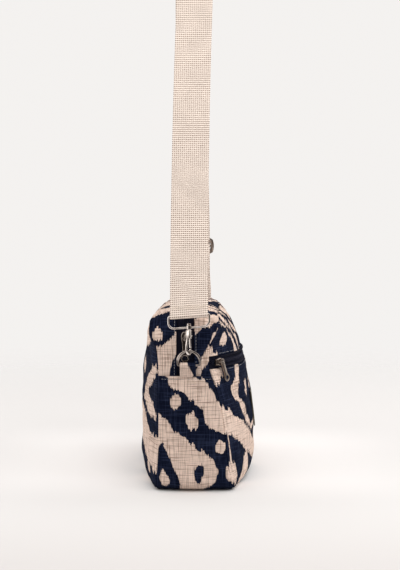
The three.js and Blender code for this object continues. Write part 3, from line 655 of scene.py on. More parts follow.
@dataclass(frozen=True)
class IkatCanvas:
    """Slubbed cotton canvas with a navy ikat pattern on cream."""

    chart: Chart
    cream: tuple = (0.8, 0.632, 0.538, 1)
    cream_slub: tuple = (0.25, 0.165, 0.125, 1)
    navy: tuple = (0.0042, 0.0062, 0.0175, 1)
    navy_slub: tuple = (0.022, 0.03, 0.063, 1)
    bundle: float = 3.4
    bundle_slip: float = 4.2
    yarn: float = 1.1
    yarn_slip: float = 2.2
    waver: float = 2.0
    waver_scale: float = 0.4
    waver_stretch: float = 0.15
    edge: float = 0.45
    slub_stretch: float = 0.035
    slub_span: Pair = (0.49, 0.65)
    warp_share: float = 0.75
    weft_share: float = 0.8
    thread: float = 0.55
    thread_rise: float = 0.24
    slub_rise: float = 0.5

    def run(self, graph: Graph, rows: Sequence[Pair], at: Socket) -> Socket:
        """A number that follows a row of heights up the chart.

        Args:
            graph: The material's graph.
            rows: Pairs of height and value.
            at: Height as a share of the chart's.

        Returns:
            The value at that height.
        """
        low, high = self.chart.height
        limit = 200
        node = graph.add("ShaderNodeFloatCurve", {1: at})
        mapping = node.mapping
        mapping.use_clip = False
        mapping.clip_min_y, mapping.clip_max_y = -limit, limit
        mapping.extend = "HORIZONTAL"
        points = mapping.curves[0].points
        for k, (height, value) in enumerate(sorted(rows)):
            share = (height - low) / (high - low)
            if k < 2:
                points[k].location = (share, value)
            else:
                points.new(share, value)
        for point in points:
            point.handle_type = "AUTO_CLAMPED"
        mapping.update()
        return node.outputs[0]

    def pattern(self, graph: Graph, across: Socket, along: Socket) -> Socket:
        """How far inside the cream of the chart a place lies, in millimetres.

        Args:
            graph: The material's graph.
            across: Place across the cloth.
            along: Place along the cloth.

        Returns:
            Above zero on cream and below it on navy.
        """
        (left, right), (low, high) = self.chart.across, self.chart.height
        shifted = graph.math("SUBTRACT", along, low)
        stretched = graph.times(along, self.waver_stretch)
        waver = graph.noise(graph.pair(across, stretched), self.waver_scale, detail=1.0)
        drawn = graph.math("MULTIPLY_ADD", waver, self.waver, across)
        for width, slip in ((self.bundle, self.bundle_slip), (self.yarn, self.yarn_slip)):
            count = graph.math("FLOOR", graph.math("DIVIDE", drawn, width))
            chance = graph.add("ShaderNodeTexWhiteNoise", {"W": count}, noise_dimensions="1D").outputs[0]
            shifted = graph.math("MULTIPLY_ADD", graph.math("SUBTRACT", chance, 0.5), slip, shifted)
        folded = graph.math("PINGPONG", shifted, high - low)
        height = graph.math("DIVIDE", folded, high - low)
        place = graph.math("PINGPONG", graph.math("SUBTRACT", across, left), right - left)
        place = graph.math("ADD", place, left)
        ground = -50.0
        inside: Value = ground
        for motif in self.chart.motifs:
            middle = self.run(graph, [(z, (a + b) / 2) for z, a, b in motif.rows], height)
            half = self.run(graph, [(z, (b - a) / 2) for z, a, b in motif.rows], height)
            away = graph.math("ABSOLUTE", graph.math("SUBTRACT", place, middle))
            depth = graph.math("SUBTRACT", away if motif.ground else half, half if motif.ground else away)
            inside = graph.math("MINIMUM" if motif.ground else "MAXIMUM", depth, inside)
        return inside

    def slubs(self, graph: Graph, across: Socket, along: Socket) -> Socket:
        """Thick and thin threads of both directions.

        Args:
            graph: The material's graph.
            across: Place across the cloth.
            along: Place along the cloth.

        Returns:
            Share of a thick thread, from zero to one.
        """
        stretch = self.slub_stretch
        warp = graph.noise(graph.pair(across, graph.times(along, stretch)), scale=0.95, rough=0.6)
        weft = graph.noise(graph.pair(graph.times(across, stretch), along), scale=0.9, rough=0.6)
        warp_lines = graph.span(warp, self.slub_span, (0, self.warp_share))
        weft_lines = graph.span(weft, self.slub_span, (0, self.weft_share))
        return graph.math("MINIMUM", graph.math("ADD", warp_lines, weft_lines), 1.0)

    def build(self) -> Look:
        """Mixes the finish.

        Returns:
            The finished material.
        """
        graph = Graph(f"ikat canvas {self.chart.name}")
        across, along = graph.cloth()
        inside = self.pattern(graph, across, along)
        cream = graph.span(inside, (-self.edge, self.edge), (0, 1))
        slub = self.slubs(graph, across, along)
        cloud = graph.noise(graph.pair(across, along), scale=0.06, detail=3.0)
        weave = graph.weave(across, along, self.thread, self.thread)
        share = graph.times(slub, graph.span(cloud, (0.3, 0.7), (0.6, 1.0)))
        light = graph.mix(share, self.cream, self.cream_slub)
        dark = graph.mix(share, self.navy, self.navy_slub)
        colour = graph.mix(cream, dark, light)
        worn = graph.span(cloud, (0.2, 0.8), (0.92, 1.06))
        # Painted shade and highlight: the weave darkens the hollows between threads and lightens their
        # crossings, times the cloud's random tone.
        shade = graph.times(graph.span(weave, (0.05, 0.75), (0.8, 1.06)), worn)
        colour = graph.mix(1.0, colour, shade, "MULTIPLY")
        height = graph.math("ADD", weave, graph.times(slub, self.slub_rise))
        graph.bump(height, self.thread_rise, strength=0.7)
        rough = graph.span(slub, (0, 1), (0.9, 0.8))
        return graph.finish(Base_Color=colour, Roughness=rough, Specular_IOR_Level=0.02)


@dataclass(frozen=True)
class Webbing:
    """Heavy undyed cotton webbing."""

    light: tuple = (0.9, 0.79, 0.7, 1)
    # Painted shade colour between the threads.
    gap: tuple = (0.22, 0.125, 0.09, 1)
    rib: float = 2.05
    pick: float = 2.1
    bend: float = 0.7
    over_share: float = 0.6
    hair_stretch: float = 4.0
    hair_rise: float = 0.15
    rise: float = 0.45

    def build(self) -> Look:
        """Mixes the finish.

        Returns:
            The finished material.
        """
        graph = Graph("cotton webbing")
        across, along = graph.cloth()
        wander = graph.noise(graph.pair(across, along), scale=0.22)
        bent = graph.math("MULTIPLY_ADD", graph.math("SUBTRACT", wander, 0.5), self.bend, along)
        rib = graph.ridges(across, self.rib)
        pick = graph.ridges(bent, self.pick)
        over = graph.math("MAXIMUM", rib, pick)
        weave = graph.math("MULTIPLY_ADD", over, self.over_share, graph.times(pick, 1 - self.over_share))
        combed = graph.pair(graph.times(across, self.hair_stretch), along)
        hairs = graph.noise(combed, scale=1.6, detail=4.0, rough=0.7)
        cloud = graph.noise(graph.pair(across, along), scale=0.05)
        # Painted shade: the dark gap colour fills the low places between the threads.
        colour = graph.mix(graph.span(weave, (0.25, 0.92), (0, 1)), self.gap, self.light)
        worn = graph.span(cloud, (0.3, 0.7), (0.95, 1.03))
        shade = graph.times(graph.span(hairs, (0.25, 0.75), (0.9, 1.05)), worn)
        colour = graph.mix(1.0, colour, shade, "MULTIPLY")
        height = graph.math("MULTIPLY_ADD", hairs, self.hair_rise, weave)
        graph.bump(height, self.rise, strength=0.8)
        return graph.finish(Base_Color=colour, Roughness=0.92, Specular_IOR_Level=0.12)


@dataclass(frozen=True)
class ZipTape:
    """Dark woven tape with ribs along it."""

    colour: tuple = (0.0044, 0.0047, 0.011, 1)
    # Lighter colour, painted as a highlight on the thread crests and flecked by fuzz.
    worn: tuple = (0.023, 0.0235, 0.046, 1)
    rib: float = 0.9
    pick: float = 0.5
    fuzz_stretch: float = 0.3

    def build(self) -> Look:
        """Mixes the finish.

        Returns:
            The finished material.
        """
        graph = Graph("zip tape")
        across, along = graph.cloth()
        weave = graph.weave(across, along, self.rib, self.pick)
        combed = graph.pair(across, graph.times(along, self.fuzz_stretch))
        fuzz = graph.noise(combed, scale=1.2, detail=3.0)
        # Partly random fuzz, partly painted highlight: the lighter colour goes on the weave's crests.
        colour = graph.mix(graph.times(weave, fuzz), self.colour, self.worn)
        graph.bump(weave, depth=0.25, strength=0.8)
        return graph.finish(Base_Color=colour, Roughness=0.9, Specular_IOR_Level=0.05)


@dataclass(frozen=True)
class CoilNylon:
    """Nylon of the zip's coils, rubbed lighter in random spots."""

    colour: tuple = (0.008, 0.0085, 0.019, 1)
    rubbed: tuple = (0.032, 0.033, 0.06, 1)

    def build(self) -> Look:
        """Mixes the finish.

        Returns:
            The finished material.
        """
        graph = Graph("zip coil")
        spots = graph.noise(graph.place(), scale=900.0)
        colour = graph.mix(graph.span(spots, (0.4, 0.7), (0, 0.7)), self.colour, self.rubbed)
        rough = graph.span(spots, (0.3, 0.7), (0.55, 0.75))
        return graph.finish(Base_Color=colour, Roughness=rough, Specular_IOR_Level=0.1)


@dataclass(frozen=True)
class Metal:
    """Plated fitting with faint wear and tarnish."""

    name: str
    colour: tuple
    tarnish: tuple
    smooth: float
    dull: float
    spread: float
    streak_share: float = 0.05

    def build(self) -> Look:
        """Mixes the finish.

        Returns:
            The finished material.
        """
        graph = Graph(self.name)
        place = graph.place()
        cloud = graph.noise(place, scale=140.0, detail=4.0, rough=0.6)
        streak = graph.noise(place, scale=1500.0)
        share = graph.span(cloud, (0.35, 0.75), (0, self.spread))
        colour = graph.mix(share, self.colour, self.tarnish)
        rough = graph.math("ADD", graph.span(cloud, (0.3, 0.75), (self.smooth, self.dull)),
                           graph.times(streak, self.streak_share))
        graph.bump(streak, depth=0.012, strength=0.25)
        return graph.finish(Base_Color=colour, Roughness=rough, Metallic=1.0)


@dataclass(frozen=True)
class LabelHide:
    """Bare dark olive hide with a fine grain."""

    colour: tuple = (0.05, 0.043, 0.028, 1)
    rubbed: tuple = (0.12, 0.1, 0.07, 1)

    def build(self) -> Look:
        """Mixes the finish.

        Returns:
            The finished material.
        """
        graph = Graph("label hide")
        place = graph.place()
        grain = graph.add("ShaderNodeTexVoronoi", {"Vector": place, "Scale": 900.0}).outputs[0]
        cloud = graph.noise(place, scale=60.0, detail=4.0)
        colour = graph.mix(graph.span(cloud, (0.35, 0.75), (0, 0.7)), self.colour, self.rubbed)
        graph.bump(grain, depth=0.12, strength=0.6)
        rough = graph.span(cloud, (0.3, 0.7), (0.48, 0.66))
        return graph.finish(Base_Color=colour, Roughness=rough, Specular_IOR_Level=0.4)


@dataclass(frozen=True)
class Thread:
    """Twisted sewing thread."""

    name: str
    colour: tuple
    shade: tuple

    def build(self) -> Look:
        """Mixes the finish.

        Returns:
            The finished material.
        """
        graph = Graph(self.name)
        twist = graph.noise(graph.place(), scale=2600.0)
        colour = graph.mix(graph.span(twist, (0.3, 0.7), (0, 1)), self.shade, self.colour)
        graph.bump(twist, depth=0.06, strength=0.5)
        return graph.finish(Base_Color=colour, Roughness=0.7, Specular_IOR_Level=0.3, Sheen_Weight=0.2)


class Finish(Protocol):
    """Anything that a material can be built from."""

    def build(self) -> Look:
        """The finished material."""


def made_of(finish: Finish) -> Look:
    """Dataclass field that holds the material of a finish."""
    return field(default_factory=finish.build)


@dataclass
class Finishes:
    """The materials that several pieces share, each made once."""

    webbing: Look = made_of(Webbing())
    tape: Look = made_of(ZipTape())
    coil: Look = made_of(CoilNylon())
    hide: Look = made_of(LabelHide())
    nickel: Look = made_of(Metal(
        "polished nickel", (0.92, 0.85, 0.81, 1), (0.2, 0.16, 0.135, 1), smooth=0.06, dull=0.13, spread=0.7))
    aged: Look = made_of(Metal(
        "aged nickel", (0.48, 0.42, 0.39, 1), (0.03, 0.025, 0.022, 1), smooth=0.06, dull=0.13, spread=0.95))
    antique: Look = made_of(Metal(
        "antique nickel", (0.34, 0.28, 0.24, 1), (0.09, 0.07, 0.058, 1), smooth=0.12, dull=0.28, spread=0.8))
    white_thread: Look = made_of(Thread("white thread", (0.4, 0.39, 0.4, 1), (0.2, 0.2, 0.22, 1)))
    cream_thread: Look = made_of(Thread("cream thread", (0.86, 0.76, 0.66, 1), (0.58, 0.47, 0.38, 1)))


# Shape of the bag


@dataclass(frozen=True)
class Section:
    """How far the big walls stand from the strap's plane at one height."""

    z: float
    front_end: float
    front_middle: float
    back_end: float
    back_middle: float


SECTIONS = (
    Section(0, 42, 54, 32, 44),
    Section(5, 44, 62, 34, 50),
    Section(13, 43, 66.5, 34, 53),
    Section(28, 39, 68, 33, 55),
    Section(52, 37, 67.5, 32, 55),
    Section(82, 33, 65, 32, 55),
    Section(108, 26.5, 61, 32, 54),
    Section(127, 21, 58, 32, 52),
    Section(139, 20.5, 53, 33, 50.4),
    Section(147, 21, 51, 34, 49),
    Section(162, 27, 44, 40.5, 46),
    Section(172, 29, 38, 40.5, 42),
    Section(180, 27, 30, 34, 34),
)


def section_curve(column: str) -> Callable[[Array], Array]:
    """Smooth curve through one column of the sections, without overshoot.

    Args:
        column: Name of the column.

    Returns:
        The column as a function of height.
    """
    z = np.array([row.z for row in SECTIONS], float)
    y = np.array([getattr(row, column) for row in SECTIONS], float)
    slope = np.diff(y) / np.diff(z)
    before = np.concatenate([slope[:1], slope])
    after = np.concatenate([slope, slope[-1:]])
    same = before * after > 0
    tangent = np.where(same, 2 * before * after / np.where(same, before + after, 1), 0)

    def curve(height: Array) -> Array:
        """The column at a height.

        Args:
            height: Heights on the bag.

        Returns:
            The column's values there.
        """
        h = np.clip(height, z[0], z[-1])
        i = np.clip(np.searchsorted(z, h, side="right") - 1, 0, len(slope) - 1)
        span = z[i + 1] - z[i]
        t = (h - z[i]) / span
        rise = y[i + 1] - y[i]
        bend = (span * tangent[i] - rise) * (1 - t) + (rise - span * tangent[i + 1]) * t
        return y[i] + t * rise + t * (1 - t) * bend

    return curve


@dataclass(frozen=True)
class BagShape:
    """Outline and walls of the bag's body."""

    half_length: float = 122
    seam_top: float = 180
    top_corner: float = 32
    base_corner: float = 12
    end_crown: float = 4
    top_crown: float = 6
    swell_power: float = 2.5
    lap_height: float = 118
    lap: float = 9
    lap_step: float = 2.4
    lap_spare: float = 1
    main_zip_y: float = 4
    main_zip_half: float = 9
    front_zip_half: float = 6.5
    zip_height: float = 131
    zip_sag: float = 1.5
    curves: dict = field(default_factory=lambda: {
        name: section_curve(name) for name in ("front_end", "front_middle", "back_end", "back_middle")})

    def swell(self, x: Array) -> Array:
        """Share of the belly's swelling along the bag."""
        return 1 - np.minimum(np.abs(x) / self.half_length, 1) ** self.swell_power

    def wall_y(self, side: Side, x: Array, z: Array) -> Array:
        """Where a big wall stands across the bag."""
        end, middle = (self.curves[f"{side.name.lower()}_{part}"](z) for part in ("end", "middle"))
        return side.value * (end + (middle - end) * self.swell(x))

    def wall(self, side: Side, x: Array, z: Array, lift: Array) -> Array:
        """Points on a big wall, lifted along its outward normal.

        Args:
            side: Which wall.
            x: Places along the bag.
            z: Heights.
            lift: How far out of the wall's face.

        Returns:
            The points.
        """
        x, z, lift = np.broadcast_arrays(*(np.asarray(v, float) for v in (x, z, lift)))
        step = 0.5
        slope_x = (self.wall_y(side, x + step, z) - self.wall_y(side, x - step, z)) / (2 * step)
        slope_z = (self.wall_y(side, x, z + step) - self.wall_y(side, x, z - step)) / (2 * step)
        normal = unit(np.stack([slope_x, -np.ones_like(x), slope_z], -1)) * -side.value
        return np.stack([x, self.wall_y(side, x, z), z], -1) + lift[..., None] * normal

    def edge(self, x: Array, inset: float, top: bool) -> Array:
        """Seam outline, seen from the front.

        Args:
            x: Places along the bag.
            inset: How far the outline is drawn in.
            top: Whether it is the upper run.

        Returns:
            Heights of the outline.
        """
        radius = (self.top_corner if top else self.base_corner) - inset
        drop = edge_drop(self.half_length - inset - np.abs(x), radius)
        return self.seam_top - inset - drop if top else inset + drop

    def from_seam(self, x: Array, z: Array) -> Array:
        """How far places on a big wall lie from its seam, seen from the front.

        Args:
            x: Places along the bag.
            z: Heights.

        Returns:
            The distances.
        """
        found = np.minimum(self.half_length - np.abs(x), np.minimum(z, self.seam_top - z))
        for radius, above in ((self.top_corner, z - self.seam_top + self.top_corner),
                              (self.base_corner, self.base_corner - z)):
            beyond = np.abs(x) - self.half_length + radius
            corner = (beyond > 0) & (above > 0)
            found = np.where(corner, np.minimum(found, radius - np.hypot(beyond, above)), found)
        return np.maximum(found, 0)

    def zip_line(self, x: Array) -> Array:
        """Height of the front zip, lowest at the middle of the bag."""
        return self.zip_height - self.zip_sag * self.swell(x)

    def by_zip(self, x: Array, across: Array, lift: Array) -> Array:
        """Points beside the front zip's line."""
        return self.wall(Side.FRONT, x, self.zip_line(x) + across, lift)

    def top_rim(self) -> "Rim":
        """The run of the zip panel, whose ends go under the lap."""
        return Rim(self, True, self.lap_height - self.lap + self.lap_spare)

    def base_rim(self) -> "Rim":
        """The run of the strip under the base, from lap to lap."""
        return Rim(self, False, self.lap_height)

    def along_wall(self, side: Side, x: Array) -> Array:
        """Length of cloth along a big wall from its left seam, at half height.

        Args:
            side: Which wall.
            x: Places along the bag.

        Returns:
            The lengths.
        """
        fine = np.linspace(-self.half_length, self.half_length, 600)
        depth = self.wall_y(side, fine, np.full_like(fine, self.seam_top / 2))
        length = np.concatenate([[0], np.cumsum(np.hypot(np.diff(fine), np.diff(depth)))])
        return np.interp(x, fine, length)


@dataclass(frozen=True)
class Rim:
    """Run of the gusset round the outline, from the left end to the right one."""

    shape: BagShape
    top: bool
    start: float

    def legs(self) -> Triple:
        """Measures the stretches of one half.

        Returns:
            Lengths of the end, the corner and half the flat run.
        """
        radius = self.shape.top_corner if self.top else self.shape.base_corner
        corner_z = self.shape.seam_top - radius if self.top else radius
        return abs(corner_z - self.start), radius * math.pi / 2, self.shape.half_length - radius

    def length(self) -> float:
        """Whole length of the run."""
        return 2 * sum(self.legs())

    def at(self, s: Array) -> tuple[Array, Array, Array, Array]:
        """Place and outward direction on the outline.

        Args:
            s: Lengths along the run.

        Returns:
            x, z and the direction's x and z.
        """
        end, corner, _ = self.legs()
        radius = corner * 2 / math.pi
        way = 1 if self.top else -1
        half = self.length() / 2
        right = np.where(s > half, -1, 1)
        run = np.clip(np.where(s > half, 2 * half - s, s), 0, half)
        angle = np.clip((run - end) / radius, 0, math.pi / 2)
        nx, nz = -np.cos(angle), way * np.sin(angle)
        corner_z = self.start + way * end
        x = -self.shape.half_length + radius + radius * nx + np.maximum(run - end - corner, 0)
        z = np.where(run < end, self.start + way * run, corner_z + radius * nz)
        return x * right, z, nx * right, nz

    def point(self, s: Array, y: Array, lift: Array) -> Array:
        """Points on the gusset.

        Args:
            s: Lengths along the run.
            y: Places across the bag.
            lift: How far out of the cloth's face.

        Returns:
            The points.
        """
        s, y, lift = np.broadcast_arrays(*(np.asarray(v, float) for v in (s, y, lift)))
        x, z, nx, nz = self.at(s)
        front = self.shape.wall_y(Side.FRONT, x, z)
        back = self.shape.wall_y(Side.BACK, x, z)
        t = (2 * y - front - back) / (back - front)
        crown = self.shape.end_crown * nx**2 + np.where(nz > 0, self.shape.top_crown * nz**2, 0)
        out = crown * (1 - t * t) + lift
        return np.stack([x + nx * out, y, z + nz * out], -1)

    def seam(self, side: Side, s: Array) -> Array:
        """Where a seam of the gusset lies across the bag."""
        x, z, _, _ = self.at(s)
        return self.shape.wall_y(side, x, z)


@dataclass(frozen=True)
class Relief:
    """Small unevenness of sewn cloth."""

    dent: float = 0.55
    pucker: float = 0.3
    roll: float = 1.15
    stitch_groove: float = 0.4
    groove_width: float = 0.9
    calm_reach: float = 9
    pucker_reach: float = 7
    hem_share: float = 0.85
    waves: tuple = ((61, 43, 0.4, 1.0), (-37, 58, 1.9, 0.7), (29, -33, 4.1, 0.4), (83, -97, 2.6, 1.0))
    crimps: tuple = ((9.5, 31, 0.3, 0.6), (-12.5, 11, 2.2, 0.5), (17, -8.5, 5.0, 0.6))

    @staticmethod
    def swing(across: Array, along: Array, waves: Sequence[tuple]) -> Array:
        """Sum of slanting waves, each with two lengths, a phase and a share."""
        return sum(share * np.sin(2 * math.pi * (across / first + along / second) + phase)
                   for first, second, phase, share in waves)

    def lift(self, across: Array, along: Array, seam: Array, hem: Array, stitch: float) -> Array:
        """How far the cloth's face stands out of the smooth form.

        Args:
            across: Place across the cloth.
            along: Place along the cloth.
            seam: Distance from the nearest turned seam.
            hem: Distance from the nearest folded edge.
            stitch: Distance of the topstitch from that edge, or zero.

        Returns:
            The lift, below zero where the cloth is drawn in.
        """
        near = np.minimum(seam, hem)
        calm = 1 - np.exp(-near / self.calm_reach)
        face = self.dent * self.swing(across, along, self.waves) * calm
        drawn = np.exp(-near / self.pucker_reach) * np.minimum(near, 1)
        face = face + self.pucker * self.swing(across, along, self.crimps) * drawn
        face = face - edge_drop(seam, self.roll)
        face = face - edge_drop(hem, self.hem_share * self.roll)
        if stitch:
            face = face - self.stitch_groove * np.exp(-(((hem - stitch) / self.groove_width) ** 2))
        return face


# Stitches


def stitch_row(surface: Surface, start: float, end: float, across: float, pitch: float = 3.0,
               length: float = 2.3) -> Form:
    """Straight row of stitches along a surface.

    Args:
        surface: Points from places along, across and lifted.
        start: Where the row starts along the surface.
        end: Where it ends.
        across: Where it runs across the surface.
        pitch: Distance from stitch to stitch.
        length: Length of one stitch.

    Returns:
        The row as one form.
    """
    radius, lift, sides = 0.2, 0.05, 6
    share = np.array([0, 0.08, 0.3, 0.7, 0.92, 1])
    girth = np.array([0.35, 0.8, 1, 1, 0.8, 0.35])
    sink = np.array([-1.1, -0.35, 0.1, 0.1, -0.35, -1.1])
    s = np.arange(start, end - length, pitch)[:, None] + length * share
    y = np.full_like(s, across)
    middle = surface(s, y, lift + radius * sink)
    out = unit(surface(s, y, np.full_like(s, lift + 1)) - surface(s, y, np.full_like(s, lift)))
    side = unit(np.cross(np.gradient(middle, axis=1), out))
    rings = middle[:, :, None] + radius * girth[:, None, None] * spokes(side, out, sides)
    return joined(*(loft(stitch) for stitch in rings))


# Sub-assemblies


@dataclass
class CanvasBody:
    """Canvas walls of the bag with their seams and topstitching."""

    shape: BagShape
    finishes: Finishes
    cloth: float = 2.0
    seam_trim: float = 0.75
    relief: Relief = field(default_factory=Relief)
    columns: int = 176
    base_grid: tuple[int, int] = (330, 56)
    base_power: float = 1.25
    top_grid: tuple[int, int] = (300, 30)
    zip_stitch: float = 1.9
    zip_row_end: float = 3.0
    lap_stitch: float = 3.0
    lap_row_end: float = 2.0
    lap_slope: float = 32.0
    hem_none: float = 99.0
    base_facing: float = -0.5

    def build(self) -> None:
        """Makes every canvas piece."""
        self.panel("front_pocket", Side.FRONT, POCKET_CHART, 90)
        self.panel("front_panel", Side.FRONT, FRONT_CHART, 46)
        self.panel("back_panel", Side.BACK, BACK_CHART, 124)
        self.base_gusset()
        self.top_gusset(Side.FRONT, FRONT_TOP_CHART)
        self.top_gusset(Side.BACK, BACK_TOP_CHART)
        self.topstitch()

    @staticmethod
    def closer_ends(count: int, power: float = 1.6) -> Array:
        """Shares from zero to one, closer together at both ends."""
        t = np.linspace(-1, 1, count)
        return (np.sign(t) * (1 - (1 - np.abs(t)) ** power) + 1) / 2

    def panel(self, node: str, side: Side, chart: Chart, rows: int) -> None:
        """Makes one big wall.

        Args:
            node: The solid that it stands for.
            side: Which side of the bag.
            chart: Pattern of its cloth.
            rows: Rows of points up the wall.
        """
        shape = self.shape
        reach = shape.half_length - self.seam_trim
        x = (self.closer_ends(self.columns) * 2 - 1)[:, None] * reach
        low = shape.edge(x, self.seam_trim, top=False)
        high = shape.edge(x, self.seam_trim, top=True)
        if node == "front_pocket":
            high = shape.zip_line(x) - shape.front_zip_half
        if node == "front_panel":
            low = shape.zip_line(x) + shape.front_zip_half
        z = low + (high - low) * self.closer_ends(rows)[None, :]
        x = np.broadcast_to(x, z.shape)
        plain = np.full_like(z, self.hem_none)
        hem = {"front_pocket": high - z, "front_panel": z - low}.get(node, plain)
        seam = shape.from_seam(x, z) - self.seam_trim
        across = shape.along_wall(side, x)
        stitch = self.zip_stitch if node != "back_panel" else 0.0
        lift = self.relief.lift(across, z, np.maximum(seam, 0), hem, stitch)
        outer = shape.wall(side, x, z, lift)
        inner = shape.wall(side, x, z, np.minimum(lift, 0) - self.cloth)
        form = shell(outer, inner, np.stack([across, z], -1))
        make_piece(f"{node}_canvas", form, IkatCanvas(chart).build(), [node])

    def base_gusset(self) -> None:
        """Makes the strip under the base that laps over the zip panel at both ends."""
        rim = self.shape.base_rim()
        rows, columns = self.base_grid
        s = (self.closer_ends(rows, self.base_power) * rim.length())[:, None]
        front = rim.seam(Side.FRONT, s) + self.seam_trim
        back = rim.seam(Side.BACK, s) - self.seam_trim
        y = back + (front - back) * self.closer_ends(columns)[None, :]
        s = np.broadcast_to(s, y.shape)
        hem = np.minimum(s, rim.length() - s)
        seam = np.minimum(y - front, back - y)
        over = np.clip((hem - self.shape.lap) / self.lap_slope, 0, 1)
        step = self.shape.lap_step * (1 - over * over * (3 - 2 * over))
        height = self.shape.lap_height - s
        face = self.relief.lift(-y, height, seam, hem, self.lap_stitch)
        underneath = rim.at(s)[3] < self.base_facing
        face = np.where(underneath, np.minimum(face, 0), face)
        outer = rim.point(s, y, step + face)
        inner = rim.point(s, y, step + np.minimum(face, 0) - self.cloth)
        form = shell(outer, inner, np.stack([-y, height], -1))
        make_piece("bottom_gusset_canvas", form, IkatCanvas(END_CHART).build(), ["bottom_gusset"])

    def top_gusset(self, side: Side, chart: Chart) -> None:
        """Makes one half of the zip panel.

        Args:
            side: Which side of the zip.
            chart: Pattern of its cloth.
        """
        node = f"top_gusset_{side.name.lower()}"
        rim = self.shape.top_rim()
        rows, columns = self.top_grid
        s = np.linspace(0, rim.length(), rows)[:, None]
        sewn = rim.seam(side, s) - side.value * self.seam_trim
        folded = self.shape.main_zip_y + side.value * self.shape.main_zip_half
        y = folded + (sewn - folded) * self.closer_ends(columns)[None, :]
        s = np.broadcast_to(s, y.shape)
        height = rim.start + s
        face = self.relief.lift(-y, height, np.abs(sewn - y), np.abs(y - folded), self.zip_stitch)
        outer = rim.point(s, y, face)
        inner = rim.point(s, y, np.minimum(face, 0) - self.cloth)
        form = shell(outer, inner, np.stack([-y, height], -1))
        make_piece(f"{node}_canvas", form, IkatCanvas(chart).build(), [node])

    def topstitch(self) -> None:
        """Sews the white rows beside the zips and along the laps."""
        shape = self.shape
        top, base = shape.top_rim(), shape.base_rim()
        groove = -self.relief.stitch_groove

        def lapped(y: Array, s: Array, lift: Array) -> Array:
            """Place on a lap, with the row's own direction first."""
            return base.point(s, y, lift + shape.lap_step)

        on_top, on_front, on_lap = (self.sunk(face, groove) for face in (top.point, shape.by_zip, lapped))
        reach = shape.half_length - self.zip_row_end
        main, front, laps = [], [], []
        for side in (-1, 1):
            y = shape.main_zip_y + side * (shape.main_zip_half + self.zip_stitch)
            main.append(stitch_row(on_top, shape.lap, top.length() - shape.lap, y))
            front.append(stitch_row(on_front, -reach, reach, side * (shape.front_zip_half + self.zip_stitch)))
        for s in (self.lap_stitch, base.length() - self.lap_stitch):
            start, end = (float(base.seam(side, np.array(s))) for side in Side)
            laps.append(stitch_row(on_lap, start + self.lap_row_end, end - self.lap_row_end, s))
        for name, rows in (("main_zip", main), ("front_zip", front), ("lap", laps)):
            make_piece(f"{name}_stitches", joined(*rows), self.finishes.white_thread)

    @staticmethod
    def sunk(surface: Surface, depth: float) -> Surface:
        """The surface moved along its normal."""
        return lambda s, y, lift: surface(s, y, lift + depth)


@dataclass(frozen=True)
class ZipFitting:
    """Shapes of a zip's slider and of the pull that hangs from it."""

    length: float = 11
    width: float = 8.4
    thick: float = 3
    bail_span: float = 5.4
    bail_rise: float = 3.5
    bail_wire: float = 0.65
    pull_length: float = 22
    pull_neck: float = 2.5
    pull_end: float = 4.1
    pull_thick: float = 1.4
    pull_eye: float = 2.1
    pull_hole: float = 3.1
    eye_wall: float = 1.2
    slider_sides: tuple = ((-1, 0.7), (0.3, 1), (1, 0.6))
    slider_corner: float = 1.4
    slider_edge: float = 0.9
    bail_root: float = 0.8
    bail_corner: float = 1
    eye_turn: Pair = (151, 389)
    rim_short: float = 0.05
    pull_edge: float = 0.35
    gap: float = 0.3

    def eye_out(self) -> float:
        """Height of the pull's middle over the foot of the slider."""
        return self.thick + self.gap + self.pull_thick / 2

    def slider(self) -> Form:
        """Shapes the slider.

        Returns:
            The slider lying along x, with its bail standing up z.
        """
        lower = [(u * self.length / 2, -v * self.width / 2) for u, v in self.slider_sides]
        outline = rounded(lower + [(u, -v) for u, v in lower[::-1]], self.slider_corner)
        body = plate(outline, [], self.thick, self.slider_edge)
        body.places[:, 2] += self.thick / 2
        crest = self.thick + self.bail_rise - self.bail_wire
        leg, bend = self.bail_span / 2, self.bail_corner
        rise = [(-leg, self.thick - self.bail_root), (-leg, crest - bend), (bend - leg, crest)]
        line = smooth_line(rise + [(-u, w) for u, w in rise[::-1]], 32)
        bail = wire(np.c_[line[:, 0], np.zeros(len(line)), line[:, 1]], self.bail_wire, 12)
        return joined(body, bail)

    def pull(self) -> Form:
        """Shapes the pull.

        Returns:
            The pull in its own plane, hanging along y from the eye at its origin to a ring at its end.
        """
        eye = arc((0, 0), self.pull_eye + self.eye_wall, *self.eye_turn, 30)
        at = np.array((0, self.pull_length - self.pull_end))
        flare = math.degrees(math.acos(self.pull_neck / self.pull_end))
        neck = np.array((self.pull_neck, 2 * (self.pull_eye + self.eye_wall)))
        bow = arc(at, self.pull_end, -flare, 180 + flare, 36)
        outline = np.concatenate([eye, neck[None], bow, neck[None] * (-1, 1)])
        ring = arc((0, 0), 1, 0, 345, 32)
        holes = [ring * self.pull_eye, ring * self.pull_hole + at]
        body = plate(outline, holes, self.pull_thick, self.pull_edge)
        rim = ring * (self.pull_hole + self.pull_end) / 2 + at
        rim_wire = self.pull_thick / 2 - self.rim_short
        return joined(body, wire(np.c_[rim, np.zeros(len(rim))], rim_wire, 12, closed=True))


